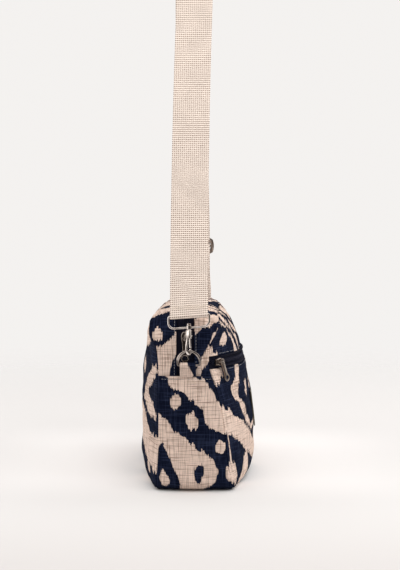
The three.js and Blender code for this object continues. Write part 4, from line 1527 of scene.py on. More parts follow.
@dataclass
class Zips:
    """Tapes, coils, sliders and pulls of both zips."""

    shape: BagShape
    finishes: Finishes
    fitting: ZipFitting = field(default_factory=ZipFitting)
    tape_thick: float = 0.8
    tape_sink: float = 2.9
    tuck: float = 5
    tape_gap: float = 0.15
    coil_half: float = 2.7
    coil_thick: float = 1.9
    coil_sink: float = 0.6
    coil_wire: float = 0.42
    coil_pitch: float = 1.3
    coil_mesh: float = 0.45
    turn_places: int = 9
    coil_sides: int = 5
    coil_margin: float = 1
    main_rows: int = 260
    front_rows: int = 180
    tape_columns: int = 30
    front_puff: Pair = (2.2, 2.9)
    front_folds: float = 0.6
    fold_width: float = 3.6
    fold_drift: float = 40
    flat_half: float = 2.2
    puff_fade: float = 26
    front_reach: float = 118.8
    main_slider_height: float = 157.5
    front_slider_x: float = -111
    front_pull_tilt: float = 19

    def build(self) -> None:
        """Makes both zips."""
        shape = self.shape
        rim = shape.top_rim()
        s = np.linspace(0, rim.length(), self.main_rows)

        def on_top(along: Array, across: Array, lift: Array) -> Array:
            """Place beside the main zip's line."""
            return rim.point(along, shape.main_zip_y + across, lift)

        reach = shape.main_zip_half + self.tuck
        self.tape("main_zip_tape_front", on_top, s, -reach, -self.tape_gap)
        self.tape("main_zip_tape_back", on_top, s, self.tape_gap, reach)
        self.coil("main_zip_coil", on_top, self.coil_margin, rim.length() - self.coil_margin)
        x = np.linspace(-self.front_reach, self.front_reach, self.front_rows)
        reach = shape.front_zip_half + self.tuck
        self.tape("front_zip_tape_upper", shape.by_zip, x, self.tape_gap, reach, self.front_puff[1])
        self.tape("front_zip_tape_lower", shape.by_zip, x, -reach, -self.tape_gap, self.front_puff[0])
        reach = self.front_reach - self.coil_margin
        self.coil("front_zip_coil", shape.by_zip, -reach, reach)
        self.main_fittings()
        self.front_fittings()

    def tape(self, node: str, surface: Surface, along: Array, low: float, high: float,
             puff: float = 0) -> None:
        """Makes one woven tape.

        Args:
            node: The solid that it stands for.
            surface: Points from places along, across and lifted.
            along: Places along the zip.
            low: Where the tape starts across the zip.
            high: Where it ends.
            puff: How far its middle swells out of the bag, away from the zip's ends.
        """
        s, across = np.broadcast_arrays(along[:, None], np.linspace(low, high, self.tape_columns)[None, :])
        free = np.clip(np.minimum(s - s.min(), s.max() - s) / self.puff_fade, 0, 1) ** 2
        width = self.shape.front_zip_half + 1 - self.flat_half
        share = np.clip((np.abs(across) - self.flat_half) / width, 0, 1)
        folds = 1 + self.front_folds * np.sin(2 * math.pi * across / self.fold_width + s / self.fold_drift)
        lift = puff * free * np.sin(math.pi * share) * folds - self.tape_sink
        outer = surface(s, across, lift)
        inner = surface(s, across, lift - self.tape_thick)
        form = shell(outer, inner, np.stack([across, s], -1))
        make_piece(f"{node}_woven", form, self.finishes.tape, [node])

    def coil(self, node: str, surface: Surface, start: float, end: float) -> None:
        """Makes the two meshed coils of a zip.

        Args:
            node: The solid that they stand for.
            surface: Points from places along, across and lifted.
            start: Where the coils start along the zip.
            end: Where they end.
        """
        angle = np.arange(0, (end - start) / self.coil_pitch * 2 * math.pi, 2 * math.pi / self.turn_places)
        along = start + angle / (2 * math.pi) * self.coil_pitch
        half = (self.coil_half - self.coil_wire + self.coil_mesh) / 2
        rise = self.coil_thick / 2 - self.coil_wire
        coils = []
        for side, phase in ((-1, 0.0), (1, math.pi)):
            across = side * (half - self.coil_mesh) + half * np.cos(angle + phase)
            lift = -self.coil_sink - self.coil_thick / 2 + rise * np.sin(angle + phase)
            coils.append(wire(surface(along, across, lift), self.coil_wire, self.coil_sides))
        make_piece(f"{node}_turns", joined(*coils), self.finishes.coil, [node])

    def main_fittings(self) -> None:
        """Makes the main zip's slider, high on the left end, and the pull that hangs from it."""
        out = np.array((-1.0, 0, 0))
        up = np.array((0, 0, 1.0))
        end_x = self.shape.half_length + self.shape.end_crown
        x = -end_x + self.coil_sink - self.fitting.gap
        at = np.array((x, self.shape.main_zip_y, self.main_slider_height))
        self.slider("main_zip_slider", at, (up, ACROSS, out), self.finishes.aged)
        eye = at + out * self.fitting.eye_out() - up * self.fitting.bail_span / 2
        self.pull("main_zip_pull", "main_pull", (eye, -up, out), self.finishes.aged)

    def front_fittings(self) -> None:
        """Makes the front zip's slider near the left seam and its leaning pull."""
        x = np.array(self.front_slider_x)
        z = self.shape.zip_line(x)
        foot = self.shape.wall(Side.FRONT, x, z, 0)
        out = unit(self.shape.wall(Side.FRONT, x, z, 1) - foot)
        along = unit(np.cross(out, (0, 0, 1)))
        along = along * np.sign(along[0])
        down = np.cross(along, out)
        down = -down * np.sign(down[2])
        at = foot + out * self.fitting.gap
        self.slider("front_zip_slider", at, (along, np.cross(out, along), out), self.finishes.antique)
        tilt = math.radians(self.front_pull_tilt)
        eye = at + out * self.fitting.eye_out() + along * self.fitting.bail_span / 2
        drop = down * math.cos(tilt) + along * math.sin(tilt)
        self.pull("front_zip_pull", "front_pull", (eye, drop, out), self.finishes.antique)

    def slider(self, node: str, at: Array, axes: Sequence[Array], metal: Look) -> None:
        """Makes one slider."""
        form = self.fitting.slider().set_in(at, axes)
        make_piece(f"{node}_metal", form, metal, [node])

    def pull(self, node: str, body: str, hung: Sequence[Array], metal: Look) -> None:
        """Makes one pull.

        Args:
            node: The solid that it stands for.
            body: Body that it swings with.
            hung: Middle of its eye, the direction in which it hangs and the direction out of the bag.
            metal: Its finish.
        """
        eye, down, out = hung
        form = self.fitting.pull().set_in(eye, (np.cross(down, out), down, out))
        make_piece(f"{node}_metal", form, metal, [node], body)


@dataclass
class PocketLabel:
    """Bare hide plate on the front pocket, standing off along its lower edge."""

    shape: BagShape
    finishes: Finishes
    width: float = 46
    height: float = 38
    middle: float = 67.5
    thick: float = 1.2
    flare: float = 1.2
    gap: float = 0.3
    edge: float = 0.5
    grid: tuple[int, int] = (60, 48)

    def build(self) -> None:
        """Makes the plate."""
        across, f = (CanvasBody.closer_ends(count) for count in self.grid)
        x = ((across - 0.5) * self.width)[:, None]
        f = f[None, :]
        z = self.middle + self.height * (f - 0.5)
        x, z, f = np.broadcast_arrays(x, z, f)
        near = np.minimum(self.width / 2 - np.abs(x), self.height / 2 - np.abs(z - self.middle))
        worn = edge_drop(near, self.edge)
        face = self.thick + self.gap + self.flare * (1 - f) ** 2
        outer = self.shape.wall(Side.FRONT, x, z, face - worn)
        inner = self.shape.wall(Side.FRONT, x, z, face - self.thick)
        form = shell(outer, inner, np.stack([x, z], -1))
        make_piece("pocket_label_hide", form, self.finishes.hide, ["pocket_label"])


@dataclass(frozen=True)
class HangLine:
    """Where ring, hook, loop and strap hang at the left end."""

    end_x: float = 126
    lean: float = 12
    ring_top_height: float = 144.8
    ring_standoff: float = 10.5
    bar_standoff: float = 8
    ring_half: float = 11
    ring_leg: float = 3.6
    hook_reach: float = 23.3
    loop_height: float = 12.3
    hook_turn: float = 30
    loop_wire: float = 1.05
    strap_thick: float = 1.6
    strap_width: float = 38
    gap: float = 0.3
    sway: float = 0.07
    sway_reach: float = 70
    drift: tuple[float, ...] = (0, 1.3, 1.3, 2.8)
    drift_heights: tuple[float, ...] = (12, 35, 90, 170)
    drift_fade: float = 60
    bow: float = 3.8
    bow_heights: Pair = (60, 330)
    bow_fade: float = 50

    @property
    def up(self) -> Array:
        """Direction up along the strap."""
        return np.array((math.sin(math.radians(self.lean)), 0, math.cos(math.radians(self.lean))))

    @property
    def out(self) -> Array:
        """Direction out of the strap's face, away from the bag."""
        return np.array((-math.cos(math.radians(self.lean)), 0, math.sin(math.radians(self.lean))))

    @property
    def ring_top(self) -> Array:
        """Middle of the ring's wire at its top."""
        return np.array((-self.end_x - self.ring_standoff, 0, self.ring_top_height))

    @property
    def ring_bar(self) -> Array:
        """Middle of the ring's straight bar."""
        height = self.ring_top_height - self.ring_half - self.ring_leg
        return np.array((-self.end_x - self.bar_standoff, 0, height))

    @property
    def loop_low(self) -> Array:
        """Middle of the loop's lower bar."""
        return self.ring_top + self.up * self.hook_reach

    @property
    def loop_high(self) -> Array:
        """Middle of the loop's upper bar, which the strap goes round."""
        return self.loop_low + self.up * self.loop_height

    @property
    def hook_axes(self) -> tuple[Array, Array, Array]:
        """Turns the hook's own directions.

        Returns:
            Directions across the hook, down it and out of its plane.
        """
        turn = math.radians(self.hook_turn)
        across = -self.out * math.cos(turn) - ACROSS * math.sin(turn)
        return across, -self.up, unit(np.cross(across, -self.up))

    def swayed(self, places: Array) -> Array:
        """Hangs the strap a little askew, its left half to the front and its right to the back.

        Args:
            places: Places on a straight strap.

        Returns:
            The moved places.
        """
        x, y, _ = np.moveaxis(places, -1, 0)
        height = (np.stack([-np.abs(x), y, places[..., 2]], -1) - self.loop_high) @ self.up
        turn = self.sway * np.clip(1 - height / self.sway_reach, 0, 1) * (x < 0)
        drift = np.interp(height, self.drift_heights, self.drift) * np.clip(x / self.drift_fade, 0, 1)
        bow = self.bow * np.interp(height, self.bow_heights, (0, 1)) ** 2 * np.clip(-x / self.bow_fade, 0, 1)
        return places - (turn * y)[..., None] * self.up + (drift - bow)[..., None] * ACROSS

    @property
    def wrap(self) -> float:
        """Radius of the strap's middle round a bar."""
        return self.loop_wire + self.gap + self.strap_thick / 2

    @property
    def layer(self) -> float:
        """Distance from one layer of the strap to the next."""
        return self.strap_thick + self.gap


def frame_outline(half_across: float, half_up: float, high: float, low: float) -> Array:
    """Rounded frame outline about zero.

    Args:
        half_across: Half its width.
        half_up: Half its height.
        high: Radius of its upper corners.
        low: Radius of its lower corners.

    Returns:
        Points of the closed outline.
    """
    corner_points, run_points, longest = 9, 5, 3
    corners = []
    for su, sv, start in ((1, 1, 0), (-1, 1, 90), (-1, -1, 180), (1, -1, 270)):
        radius = high if sv > 0 else low
        centre = (su * (half_across - radius), sv * (half_up - radius))
        corners.append(arc(centre, radius, start, start + 90, corner_points))
    outline = np.concatenate(corners)
    return np.concatenate([np.linspace(a, b, run_points)[:-1] if np.hypot(*(b - a)) > longest else a[None]
                           for a, b in zip(outline, np.roll(outline, -1, axis=0))])


def ribbon(line: Array, heading: Array, width: float, thickness: float, shift: float = 0.0) -> Form:
    """Flat band with rounded edges along a line in the X-Z plane.

    Args:
        line: Points of the band's middle, as x and z.
        heading: Direction of the line at each point, in radians from x.
        width: Width along Y.
        thickness: Thickness of the band.
        shift: Place of its middle along Y.

    Returns:
        The band with cloth coordinates across and along.
    """
    half, deep = width / 2, thickness / 2
    face_points = 12
    cap = arc((half - deep, 0), deep, -90, 90, 7)
    flat_run = np.linspace(half - deep, deep - half, face_points + 2)[1:-1]
    face = np.c_[flat_run, np.full(face_points, deep)]
    section = np.concatenate([cap, face, -cap, -face])
    normal = np.c_[-np.sin(heading), np.cos(heading)]
    flat = line[:, None] + section[None, :, 1:] * normal[:, None]
    across = np.broadcast_to(shift + section[:, 0], flat.shape[:2])
    rings = np.stack([flat[..., 0], across, flat[..., 1]], -1)
    length = np.concatenate([[0], np.cumsum(np.hypot(*np.diff(line, axis=0).T))])
    cloth = np.stack([across - shift, np.broadcast_to(length[:, None], across.shape)], -1)
    return loft(rings, cloth=cloth)


@dataclass
class EndFittings:
    """Tab, ring, swivel loop, hook and gate at one end of the bag."""

    end: End
    finishes: Finishes
    hang: HangLine = field(default_factory=HangLine)
    ring_wire: float = 1.15
    ring_swell: float = 0.45
    swell_across: Pair = (0.35, 0.8)
    swell_heights: Pair = (2, 5)
    tab_width: float = 16
    tab_shift: float = 1
    tab_thick: float = 1.3
    tab_foot: float = 118.3
    tab_legs: Pair = (3.525, 1.9)
    ring_corner: Pair = (1.4, 1.6)
    loop_slack: float = 0.35
    loop_corners: Pair = (1.6, 6)
    boss_radius: float = 2.6
    boss_half: float = 2.2
    boss_edge: float = 0.5
    post_radius: float = 1.1
    post_head: float = 2
    post_rise: float = 3.2
    head_line: tuple = ((-0.3, 0), (0, 0.3), (0, 1.1), (-0.4, 1.5))
    head_thick: float = 1.6
    hook_wire: float = 1.25
    hook_points: int = 64
    nose: tuple = ((0, 0.93, 0.98, 1), (1, 1, 0.85, 0.55))
    plate_corner: float = 0.8
    plate_edge: float = 0.4
    core_corner: float = 0.4
    core_edge: float = 0.2
    cheek: float = 1.1
    block_half: float = 2.2
    gate_thick: float = 1.6
    gate_pin: float = 0.55
    rivet: Triple = (0.3, 0.25, 0.1)
    pivot: Pair = (2, 8.2)
    hook_line: tuple = ((-1.2, 7.5), (-2.6, 12.5), (-3.8, 17.5), (-4, 21.5), (-3.2, 24.6), (-1.2, 26.4),
                        (1, 26.4), (2.8, 24.8), (3.4, 22.6), (3.4, 20.8))
    gate_line: tuple = ((-1.5, -1.5), (1.1, -1.6), (1.8, 1.4), (2.2, 5), (2.3, 12), (0.3, 12.1), (-0.6, 4.2))

    def build(self) -> None:
        """Makes every piece of this end."""
        self.tab()
        self.ring()
        self.loop()
        self.hook()
        self.gate()

    def metal(self, word: str, form: Form, look: Look, moves: bool = False) -> None:
        """Hands over one metal piece at this end.

        Args:
            word: Name of the solid without its end.
            form: Its shape at the left end.
            look: Its material.
            moves: Whether it is a body of its own.
        """
        node = f"{self.end.name.lower()}_{word}"
        make_piece(f"{node}_metal", form.at(self.end), look, [node], node if moves else BAG)

    def tab(self) -> None:
        """Makes the cloth tab, folded over the ring's bar and caught by the lap."""
        x, _, z = self.hang.ring_bar
        reach = self.ring_wire + self.hang.gap + self.tab_thick / 2
        outer, inner = (-self.hang.end_x - leg for leg in self.tab_legs)
        fold = arc((x, z), reach, 180, 0, 22)
        rise = np.linspace((outer, self.tab_foot), fold[0], 12)[:-1]
        drop = np.linspace(fold[-1], (inner, self.tab_foot), 12)[1:]
        line = np.concatenate([rise, fold, drop])
        slope = np.gradient(line, axis=0)
        heading = np.arctan2(slope[:, 1], slope[:, 0])
        form = ribbon(line, heading, self.tab_width, self.tab_thick, self.tab_shift)
        node = f"{self.end.name.lower()}_tab"
        make_piece(f"{node}_cloth", form.at(self.end), IkatCanvas(TAB_CHART).build(), [node])

    def ring(self) -> None:
        """Makes the ring that the hook is clipped to."""
        hang = self.hang
        up = unit(hang.ring_top - hang.ring_bar)
        half = hang.ring_half
        flat, rise = half - self.ring_corner[0], self.ring_corner[1]
        t = np.linspace(0, 1, 6)[:, None]
        corner = (1 - t) ** 2 * (flat, 0) + 2 * t * (1 - t) * np.array((half, 0)) + t**2 * (half, rise)
        bow = arc((0, hang.ring_leg), half, 0, 180, 40)
        bar = np.linspace((-flat, 0), (flat, 0), 8)[:-1]
        outline = np.concatenate([bar, corner, bow, corner[::-1] * (-1, 1)])[:-1]
        line = laid(outline, hang.ring_bar, up)
        swell = np.interp(np.abs(outline[:, 0]) / half, self.swell_across, (0, 1))
        swell *= np.interp(outline[:, 1], self.swell_heights, (0, 1))
        form = wire(line, self.ring_wire + self.ring_swell * swell, 18, closed=True)
        self.metal("d_ring", form, self.finishes.aged)

    def loop(self) -> None:
        """Makes the wire loop that carries the strap, with the boss that the hook turns in."""
        hang = self.hang
        half = hang.strap_width / 2 + self.loop_slack + hang.loop_wire
        outline = frame_outline(half, hang.loop_height / 2, *self.loop_corners)
        middle = hang.loop_low + hang.up * hang.loop_height / 2
        line = hang.swayed(laid(outline, middle, hang.up))
        bore = self.post_radius + hang.gap
        r, h, edge = self.boss_radius, self.boss_half, self.boss_edge
        profile = ((bore, -h), (r - edge, -h), (r, edge - h), (r, h - edge), (r - edge, h), (bore, h))
        boss = turned(profile, hang.loop_low, hang.up, 32)
        form = joined(wire(line, hang.loop_wire, 16, closed=True), boss)
        self.metal("swivel_loop", form, self.finishes.nickel)

    def hook(self) -> None:
        """Makes the hook: a bent claw, a slotted block and the post it turns on."""
        hang = self.hang
        axes = hang.hook_axes
        flat = smooth_line(np.array(self.hook_line), self.hook_points)
        line = hang.loop_low + flat @ np.array(axes[:2])
        taper = np.interp(np.linspace(0, 1, self.hook_points), *self.nose)
        claw = wire(line, self.hook_wire * taper, 18)
        top = self.boss_half + hang.gap
        block = rounded(((-2.3, top), (3.3, top), (3.6, 9.4), (2.2, 11), (-2.8, 11)), self.plate_corner)
        core = rounded(((-2.1, top + self.core_edge), (3.1, top + self.core_edge), (3.3, 5.6), (-0.2, 5.6),
                        (-0.2, 10.8), (-2.6, 10.8)), self.core_corner)
        core_thick = 2 * self.block_half - self.cheek
        parts = [claw, plate(core, [], core_thick, self.core_edge).set_in(hang.loop_low, axes)]
        for side in (-1, 1):
            middle = hang.loop_low + side * (self.block_half - self.cheek / 2) * axes[2]
            parts.append(plate(block, [], self.cheek, self.plate_edge).set_in(middle, axes))
        post, head = self.post_radius, self.post_head
        profile = [(0, -self.post_rise), (post, -self.post_rise), (post, top)]
        profile += [(head + u, top + v) for u, v in self.head_line] + [(0, top + self.head_thick)]
        parts.append(turned(profile, hang.loop_low, hang.up))
        pin = hang.loop_low + np.array(self.pivot) @ np.array(axes[:2])
        r, h = self.gate_pin, self.block_half
        head, flare, under = self.rivet
        upper = [(r, h - under), (r + flare, h), (r, h + head), (0, h + head)]
        parts.append(turned([(u, -v) for u, v in upper[::-1]] + upper, pin, axes[2], 14))
        self.metal("hook", joined(*parts), self.finishes.nickel, moves=True)

    def gate(self) -> None:
        """Makes the sprung gate that closes on the hook's nose."""
        outline = rounded(np.add(self.gate_line, self.pivot), self.plate_corner)
        hole = arc(self.pivot, self.gate_pin + self.hang.gap, 0, 340, 18)
        form = plate(outline, [hole], self.gate_thick, self.plate_edge)
        form = form.set_in(self.hang.loop_low, self.hang.hook_axes)
        self.metal("gate", form, self.finishes.nickel, moves=True)


def belt(pegs: Sequence[Triple], step: float = 8.0) -> tuple[Array, Array]:
    """Line of a band run round pegs in the X-Z plane.

    Args:
        pegs: Rows of x, z and turn, a radius above zero where the band goes round anticlockwise.
        step: Longest distance between points on a straight run.

    Returns:
        Points of the line, and its direction at each in radians from x.
    """
    coarse, fine = 4, 3
    rows = np.asarray(pegs, float)
    gap = np.diff(rows[:, :2], axis=0)
    lead = np.arctan2(gap[:, 1], gap[:, 0]) + np.arcsin((rows[:-1, 2] - rows[1:, 2]) / np.hypot(*gap.T))
    line: list[Array] = []
    heading: list[float] = []
    for i, (x, z, turn) in enumerate(rows):
        into, away = lead[max(i - 1, 0)], lead[min(i, len(lead) - 1)]
        way = np.sign(turn)
        sweep = way * ((way * (away - into)) % (2 * math.pi))
        count = max(2, math.ceil(abs(sweep) * max(coarse, abs(turn) / fine))) if turn else 0
        for angle in into + np.linspace(0, sweep, count + 1):
            point = np.array((x + turn * math.sin(angle), z - turn * math.cos(angle)))
            start = line[-1] if line else point
            far = np.hypot(*(point - start))
            for share in np.arange(step, far - 1, step) / far if far > 2 * step else ():
                line.append(start + (point - start) * share)
                heading.append(angle)
            line.append(point)
            heading.append(angle)
    return np.array(line), np.array(heading)


@dataclass
class ShoulderStrap:
    """Webbing strap from loop to loop, with its sewn ends and its adjuster."""

    finishes: Finishes
    hang: HangLine = field(default_factory=HangLine)
    top_radius: float = 30
    tail: float = 34
    slide_along: float = 68
    slide_out: float = 2.2
    slide_pitch: float = 9
    slide_half: float = 22.45
    slide_corner: float = 4.5
    rail_wire: float = 2.2
    rail_half: float = 22
    rail_bow: float = 2
    rail_reach: float = 0.85
    tack_margin: float = 1.2
    tack_stagger: float = 0.6
    tack_pitch: float = 2.5
    tack_length: float = 2.2
    tack_rows: tuple[float, ...] = (6.4, 7.4, 8.4, 9.4)
    tail_rows: tuple[float, ...] = (39, 40, 41, 42)

    def build(self) -> None:
        """Makes the strap, its stitches and the adjuster."""
        line, heading = self.route()
        form = ribbon(line, heading, self.hang.strap_width, self.hang.strap_thick)
        form = Form(self.hang.swayed(form.places), form.faces, form.cloth)
        make_piece("strap_webbing", form, self.finishes.webbing, ["strap"])
        self.tacks()
        self.adjuster()

    def left(self, along: float, out: float) -> Pair:
        """Place by the left loop's upper bar, as x and z."""
        point = self.hang.loop_high + self.hang.up * along + self.hang.out * out
        return point[0], point[2]

    def right(self, along: float, out: float) -> Pair:
        """Place by the right loop's upper bar, as x and z."""
        x, z = self.left(along, out)
        return -x, z

    def route(self) -> tuple[Array, Array]:
        """Runs the strap over the left bar and the top, through the adjuster and round the right bar.

        Returns:
            Points of its line, and the direction at each.
        """
        wrap, layer = self.hang.wrap, self.hang.layer
        lean = math.radians(self.hang.lean)
        short = wrap - self.top_radius
        run = (-self.hang.loop_high[0] + short * math.cos(lean)) / math.sin(lean)
        arch = self.hang.loop_high[2] + run * math.cos(lean) + short * math.sin(lean)
        top = self.right(self.slide_along + self.slide_pitch, self.slide_out)
        middle = self.right(self.slide_along, self.slide_out)
        low = self.right(self.slide_along - self.slide_pitch, self.slide_out)
        end = self.right(self.slide_along - self.tail, self.slide_out - wrap - 2 * layer)
        return belt((
            (*self.left(self.tail, wrap - layer), 0),
            (*self.left(0, 0), -wrap),
            (0, arch, -self.top_radius),
            (*top, wrap),
            (*middle, -wrap - layer),
            (*low, wrap),
            (*self.right(0, 0), -wrap),
            (*low, -wrap - layer),
            (*middle, wrap),
            (*low, wrap + 2 * layer),
            (*end, 0),
        ))

    def tacks(self) -> None:
        """Sews the strap's two ends down with close rows."""
        hang = self.hang
        half = hang.strap_width / 2 - self.tack_margin

        def beside(y: Array, along: Array, out: Array) -> Array:
            """Place by the left loop's upper bar."""
            steps = np.stack(np.broadcast_arrays(along, out, y), -1)
            return hang.loop_high + steps @ np.array((hang.up, hang.out, ACROSS))

        def on_strap(y: Array, along: Array, lift: Array) -> Array:
            """Place on the outer face by the left loop."""
            return hang.swayed(beside(y, along, hang.wrap + hang.strap_thick / 2 + lift))

        def on_tail(y: Array, along: Array, lift: Array) -> Array:
            """Place on the inner face of the tail by the adjuster."""
            out = self.slide_out - hang.wrap - 2 * hang.layer - hang.strap_thick / 2 - lift
            return beside(y, along, out) * (-1, 1, 1)

        for name, surface, rows in (("left", on_strap, self.tack_rows), ("right", on_tail, self.tail_rows)):
            sewn = []
            for k, row in enumerate(rows):
                start = self.tack_stagger * (k % 2) - half
                sewn.append(stitch_row(surface, start, half, row, self.tack_pitch, self.tack_length))
            make_piece(f"{name}_tack_stitches", joined(*sewn), self.finishes.cream_thread)

    def adjuster(self) -> None:
        """Makes the wire frame with a middle bar that the strap is threaded through."""
        x, z = self.right(self.slide_along, self.slide_out)
        middle = np.array((x, 0, z))
        up = self.hang.up * (-1, 1, 1)
        outline = frame_outline(self.slide_half, self.slide_pitch, self.slide_corner, self.slide_corner)
        ring = wire(laid(outline, middle, up), self.hang.loop_wire, 16, closed=True)
        ends = np.linspace(middle - self.slide_half * ACROSS, middle + self.slide_half * ACROSS, 6)
        parts = [ring, wire(ends, self.hang.loop_wire, 16)]
        share = np.linspace(-self.rail_reach, self.rail_reach, 9)
        for side in (-1, 1):
            half = side * (self.rail_half - self.rail_bow * share**2)
            rail = laid(np.c_[half, share * self.slide_pitch], middle, up)
            parts.append(wire(rail, self.rail_wire, 16))
        form = joined(*parts)
        form = Form(self.hang.swayed(form.places), form.faces)
        make_piece("strap_slider_metal", form, self.finishes.antique, ["strap_slider"])


# Studio


@dataclass(frozen=True)
class SoftBox:
    """One soft area light, placed in metres from the middle of the bag's base."""

    name: str
    place: Triple
    size: float
    power: float
    colour: Triple = (1.0, 0.98, 0.95)


@dataclass
class Studio:
    """Pale floor, soft light and the camera."""

    eye: Triple = (-1126, -33.7, 260)
    yaw: float = 1.3
    pitch: float = -2.86
    focal_pixels: float = 1000
    long_side: float = 570
    sensor: float = 36
    floor_half: float = 6
    # Floor colours: the near one is painted shade toward the camera, where the bag's shadow falls; the close
    # one is painted light beside the bag that cancels its shadow; the far one is the floor's own tone.
    floor_painted_shade: tuple = (0.53, 0.505, 0.495, 1)
    floor_far: tuple = (0.645, 0.63, 0.622, 1)
    floor_painted_light: tuple = (0.79, 0.77, 0.762, 1)
    painted_shade_span: Pair = (-0.5, -0.14)
    painted_light_aside: Pair = (0.08, 0.3)
    painted_light_start: Pair = (-0.17, -0.06)
    painted_light_end: Pair = (0.1, 0.26)
    floor_fade: Pair = (0.35, 1.3)
    floor_drop: float = 0.0005
    aim: float = 0.1
    backdrop: tuple = (0.905, 0.885, 0.868, 1)
    room_bright: tuple = (1.27, 1.255, 1.245, 1)
    room_dark: tuple = (0.05, 0.043, 0.04, 1)
    dark_way: Triple = (-0.97, 0.0, 0.24)
    dark_reach: Pair = (0.74, 0.93)
    glint_bright: tuple = (1.35, 1.3, 1.25, 1)
    glint_way: Triple = (-0.74, -0.56, -0.36)
    glint_reach: Pair = (0.0, 0.35)
    lamps: tuple[SoftBox, ...] = (
        SoftBox("right", (-0.2, -1.4, 1.3), size=2.0, power=9),
        SoftBox("left", (-0.3, 1.4, 1.3), size=2.0, power=4),
        SoftBox("front", (-0.9, -0.3, 1.3), size=0.5, power=5),
    )

    def build(self) -> None:
        """Makes the stage."""
        self.world()
        self.floor()
        for lamp in self.lamps:
            self.light(lamp)
        self.camera()

    def world(self) -> None:
        """Pale backdrop, and a bright room with a dark place before the bag."""
        world = bpy.data.worlds.new("surroundings")
        world.use_nodes = True
        tree = world.node_tree
        way = tree.nodes.new("ShaderNodeTexCoord").outputs["Generated"]
        path = tree.nodes.new("ShaderNodeLightPath").outputs
        room = self.surround(tree, way, self.dark_way, self.room_bright, self.dark_reach)
        glint = self.surround(tree, way, self.glint_way, self.glint_bright, self.glint_reach)
        seen = tree.nodes["Background"].outputs[0]
        tree.nodes["Background"].inputs[0].default_value = self.backdrop
        for share, other in (("Is Glossy Ray", glint), ("Is Camera Ray", seen)):
            mix = tree.nodes.new("ShaderNodeMixShader")
            tree.links.new(path[share], mix.inputs[0])
            tree.links.new(room, mix.inputs[1])
            tree.links.new(other, mix.inputs[2])
            room = mix.outputs[0]
        tree.links.new(room, tree.nodes["World Output"].inputs[0])
        bpy.context.scene.world = world
        bpy.context.scene.view_settings.view_transform = "Standard"

    def surround(self, tree: bpy.types.NodeTree, way: Socket, dark_way: tuple, bright: tuple,
                 reach: Pair) -> Socket:
        """Light of the room, dark toward one side.

        Args:
            tree: The world's nodes.
            way: Direction that is looked along.
            dark_way: Direction of the dark side.
            bright: Colour of the bright side.
            reach: Leans at which it starts to darken and is dark.

        Returns:
            The shader.
        """
        lean = tree.nodes.new("ShaderNodeVectorMath")
        lean.operation = "DOT_PRODUCT"
        lean.inputs[1].default_value = dark_way
        tree.links.new(way, lean.inputs[0])
        ramp = tree.nodes.new("ShaderNodeValToRGB")
        for stop, place, colour in zip(ramp.color_ramp.elements, reach, (bright, self.room_dark)):
            stop.position = place
            stop.color = colour
        tree.links.new(lean.outputs["Value"], ramp.inputs[0])
        light = tree.nodes.new("ShaderNodeBackground")
        tree.links.new(ramp.outputs[0], light.inputs[0])
        return light.outputs[0]

    def floor(self) -> None:
        """Floor at the level of the base that fades out far from the bag, with painted shade darkening it
        toward the camera and painted light brightening it beside the bag to cancel the bag's shadow.
        """
        half = self.floor_half
        mesh = bpy.data.meshes.new("floor")
        corners = [(-half, -half, 0), (half, -half, 0), (half, half, 0), (-half, half, 0)]
        mesh.from_pydata(corners, [], [(0, 1, 2, 3)])
        graph = Graph("floor paper")
        far = graph.add("ShaderNodeVectorMath", {0: graph.place()}, operation="LENGTH").outputs["Value"]
        grain = graph.noise(graph.place(), scale=220.0, detail=3.0)
        graph.bump(grain, depth=0.05, strength=0.3)
        ahead, aside, _ = graph.add("ShaderNodeSeparateXYZ", {0: graph.place()}).outputs
        # Painted light: a brighter patch beside the bag that cancels the bag's shadow on the floor.
        started = graph.span(ahead, self.painted_light_start, (0, 1))
        left = graph.span(ahead, self.painted_light_end, (1, 0))
        beside = graph.span(graph.math("ABSOLUTE", aside), self.painted_light_aside, (1, 0))
        painted_light_share = graph.times(beside, graph.times(started, left))
        # Painted shade: the floor darkens toward the camera, where the bag's shadow falls.
        colour = graph.mix(graph.span(ahead, self.painted_shade_span, (0, 1)), self.floor_painted_shade, self.floor_far)
        colour = graph.mix(painted_light_share, colour, self.floor_painted_light)
        alpha = graph.span(far, self.floor_fade, (1, 0))
        graph.finish(Base_Color=colour, Roughness=0.9, Specular_IOR_Level=0.1, Alpha=alpha)
        mesh.materials.append(graph.material)
        made = bpy.data.objects.new("floor", mesh)
        made.location = (0, 0, BASE_LEVEL - self.floor_drop)
        bpy.context.scene.collection.objects.link(made)

    def light(self, lamp: SoftBox) -> None:
        """Hangs one soft box, aimed at the bag.

        Args:
            lamp: The soft box.
        """
        data = bpy.data.lights.new(lamp.name, "AREA")
        data.shape = "DISK"
        data.size = lamp.size
        data.energy = lamp.power
        data.color = lamp.colour
        made = bpy.data.objects.new(lamp.name, data)
        made.visible_glossy = False
        place = Vector(lamp.place)
        made.location = place + Vector((0, 0, BASE_LEVEL))
        made.rotation_euler = (Vector((0, 0, self.aim)) - place).to_track_quat("-Z", "Y").to_euler()
        bpy.context.scene.collection.objects.link(made)

    def camera(self) -> None:
        """Sets the camera at the end of the bag."""
        data = bpy.data.cameras.new("camera")
        data.sensor_width = self.sensor
        data.lens = self.sensor * self.focal_pixels / self.long_side
        made = bpy.data.objects.new("camera", data)
        made.location = Vector(self.eye) * MM + Vector((0, 0, BASE_LEVEL))
        yaw, pitch = math.radians(self.yaw), math.radians(self.pitch)
        ahead = Vector((math.cos(pitch) * math.cos(yaw), math.cos(pitch) * math.sin(yaw), math.sin(pitch)))
        made.rotation_euler = ahead.to_track_quat("-Z", "Y").to_euler()
        bpy.context.scene.collection.objects.link(made)
        bpy.context.scene.camera = made


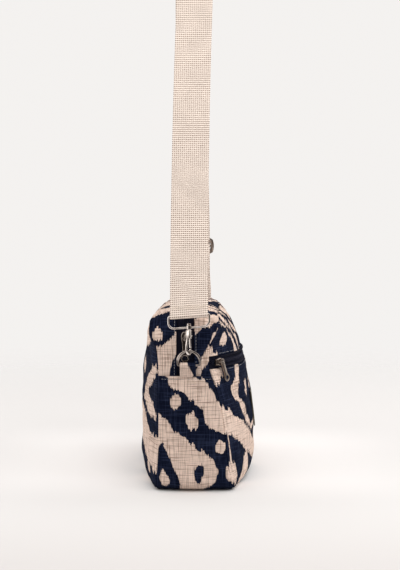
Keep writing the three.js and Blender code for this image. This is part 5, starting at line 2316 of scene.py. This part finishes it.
def write_size() -> None:
    """Brings the view layer up to date."""
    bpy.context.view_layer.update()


def main() -> None:
    """Builds the bag and its stage."""
    logging.basicConfig(level=logging.INFO, format="%(name)s %(message)s")
    shape = BagShape()
    finishes = Finishes()
    CanvasBody(shape, finishes).build()
    Zips(shape, finishes).build()
    PocketLabel(shape, finishes).build()
    for end in End:
        EndFittings(end, finishes).build()
    ShoulderStrap(finishes).build()
    Studio().build()
    write_size()


if __name__ == "__main__":
    main()
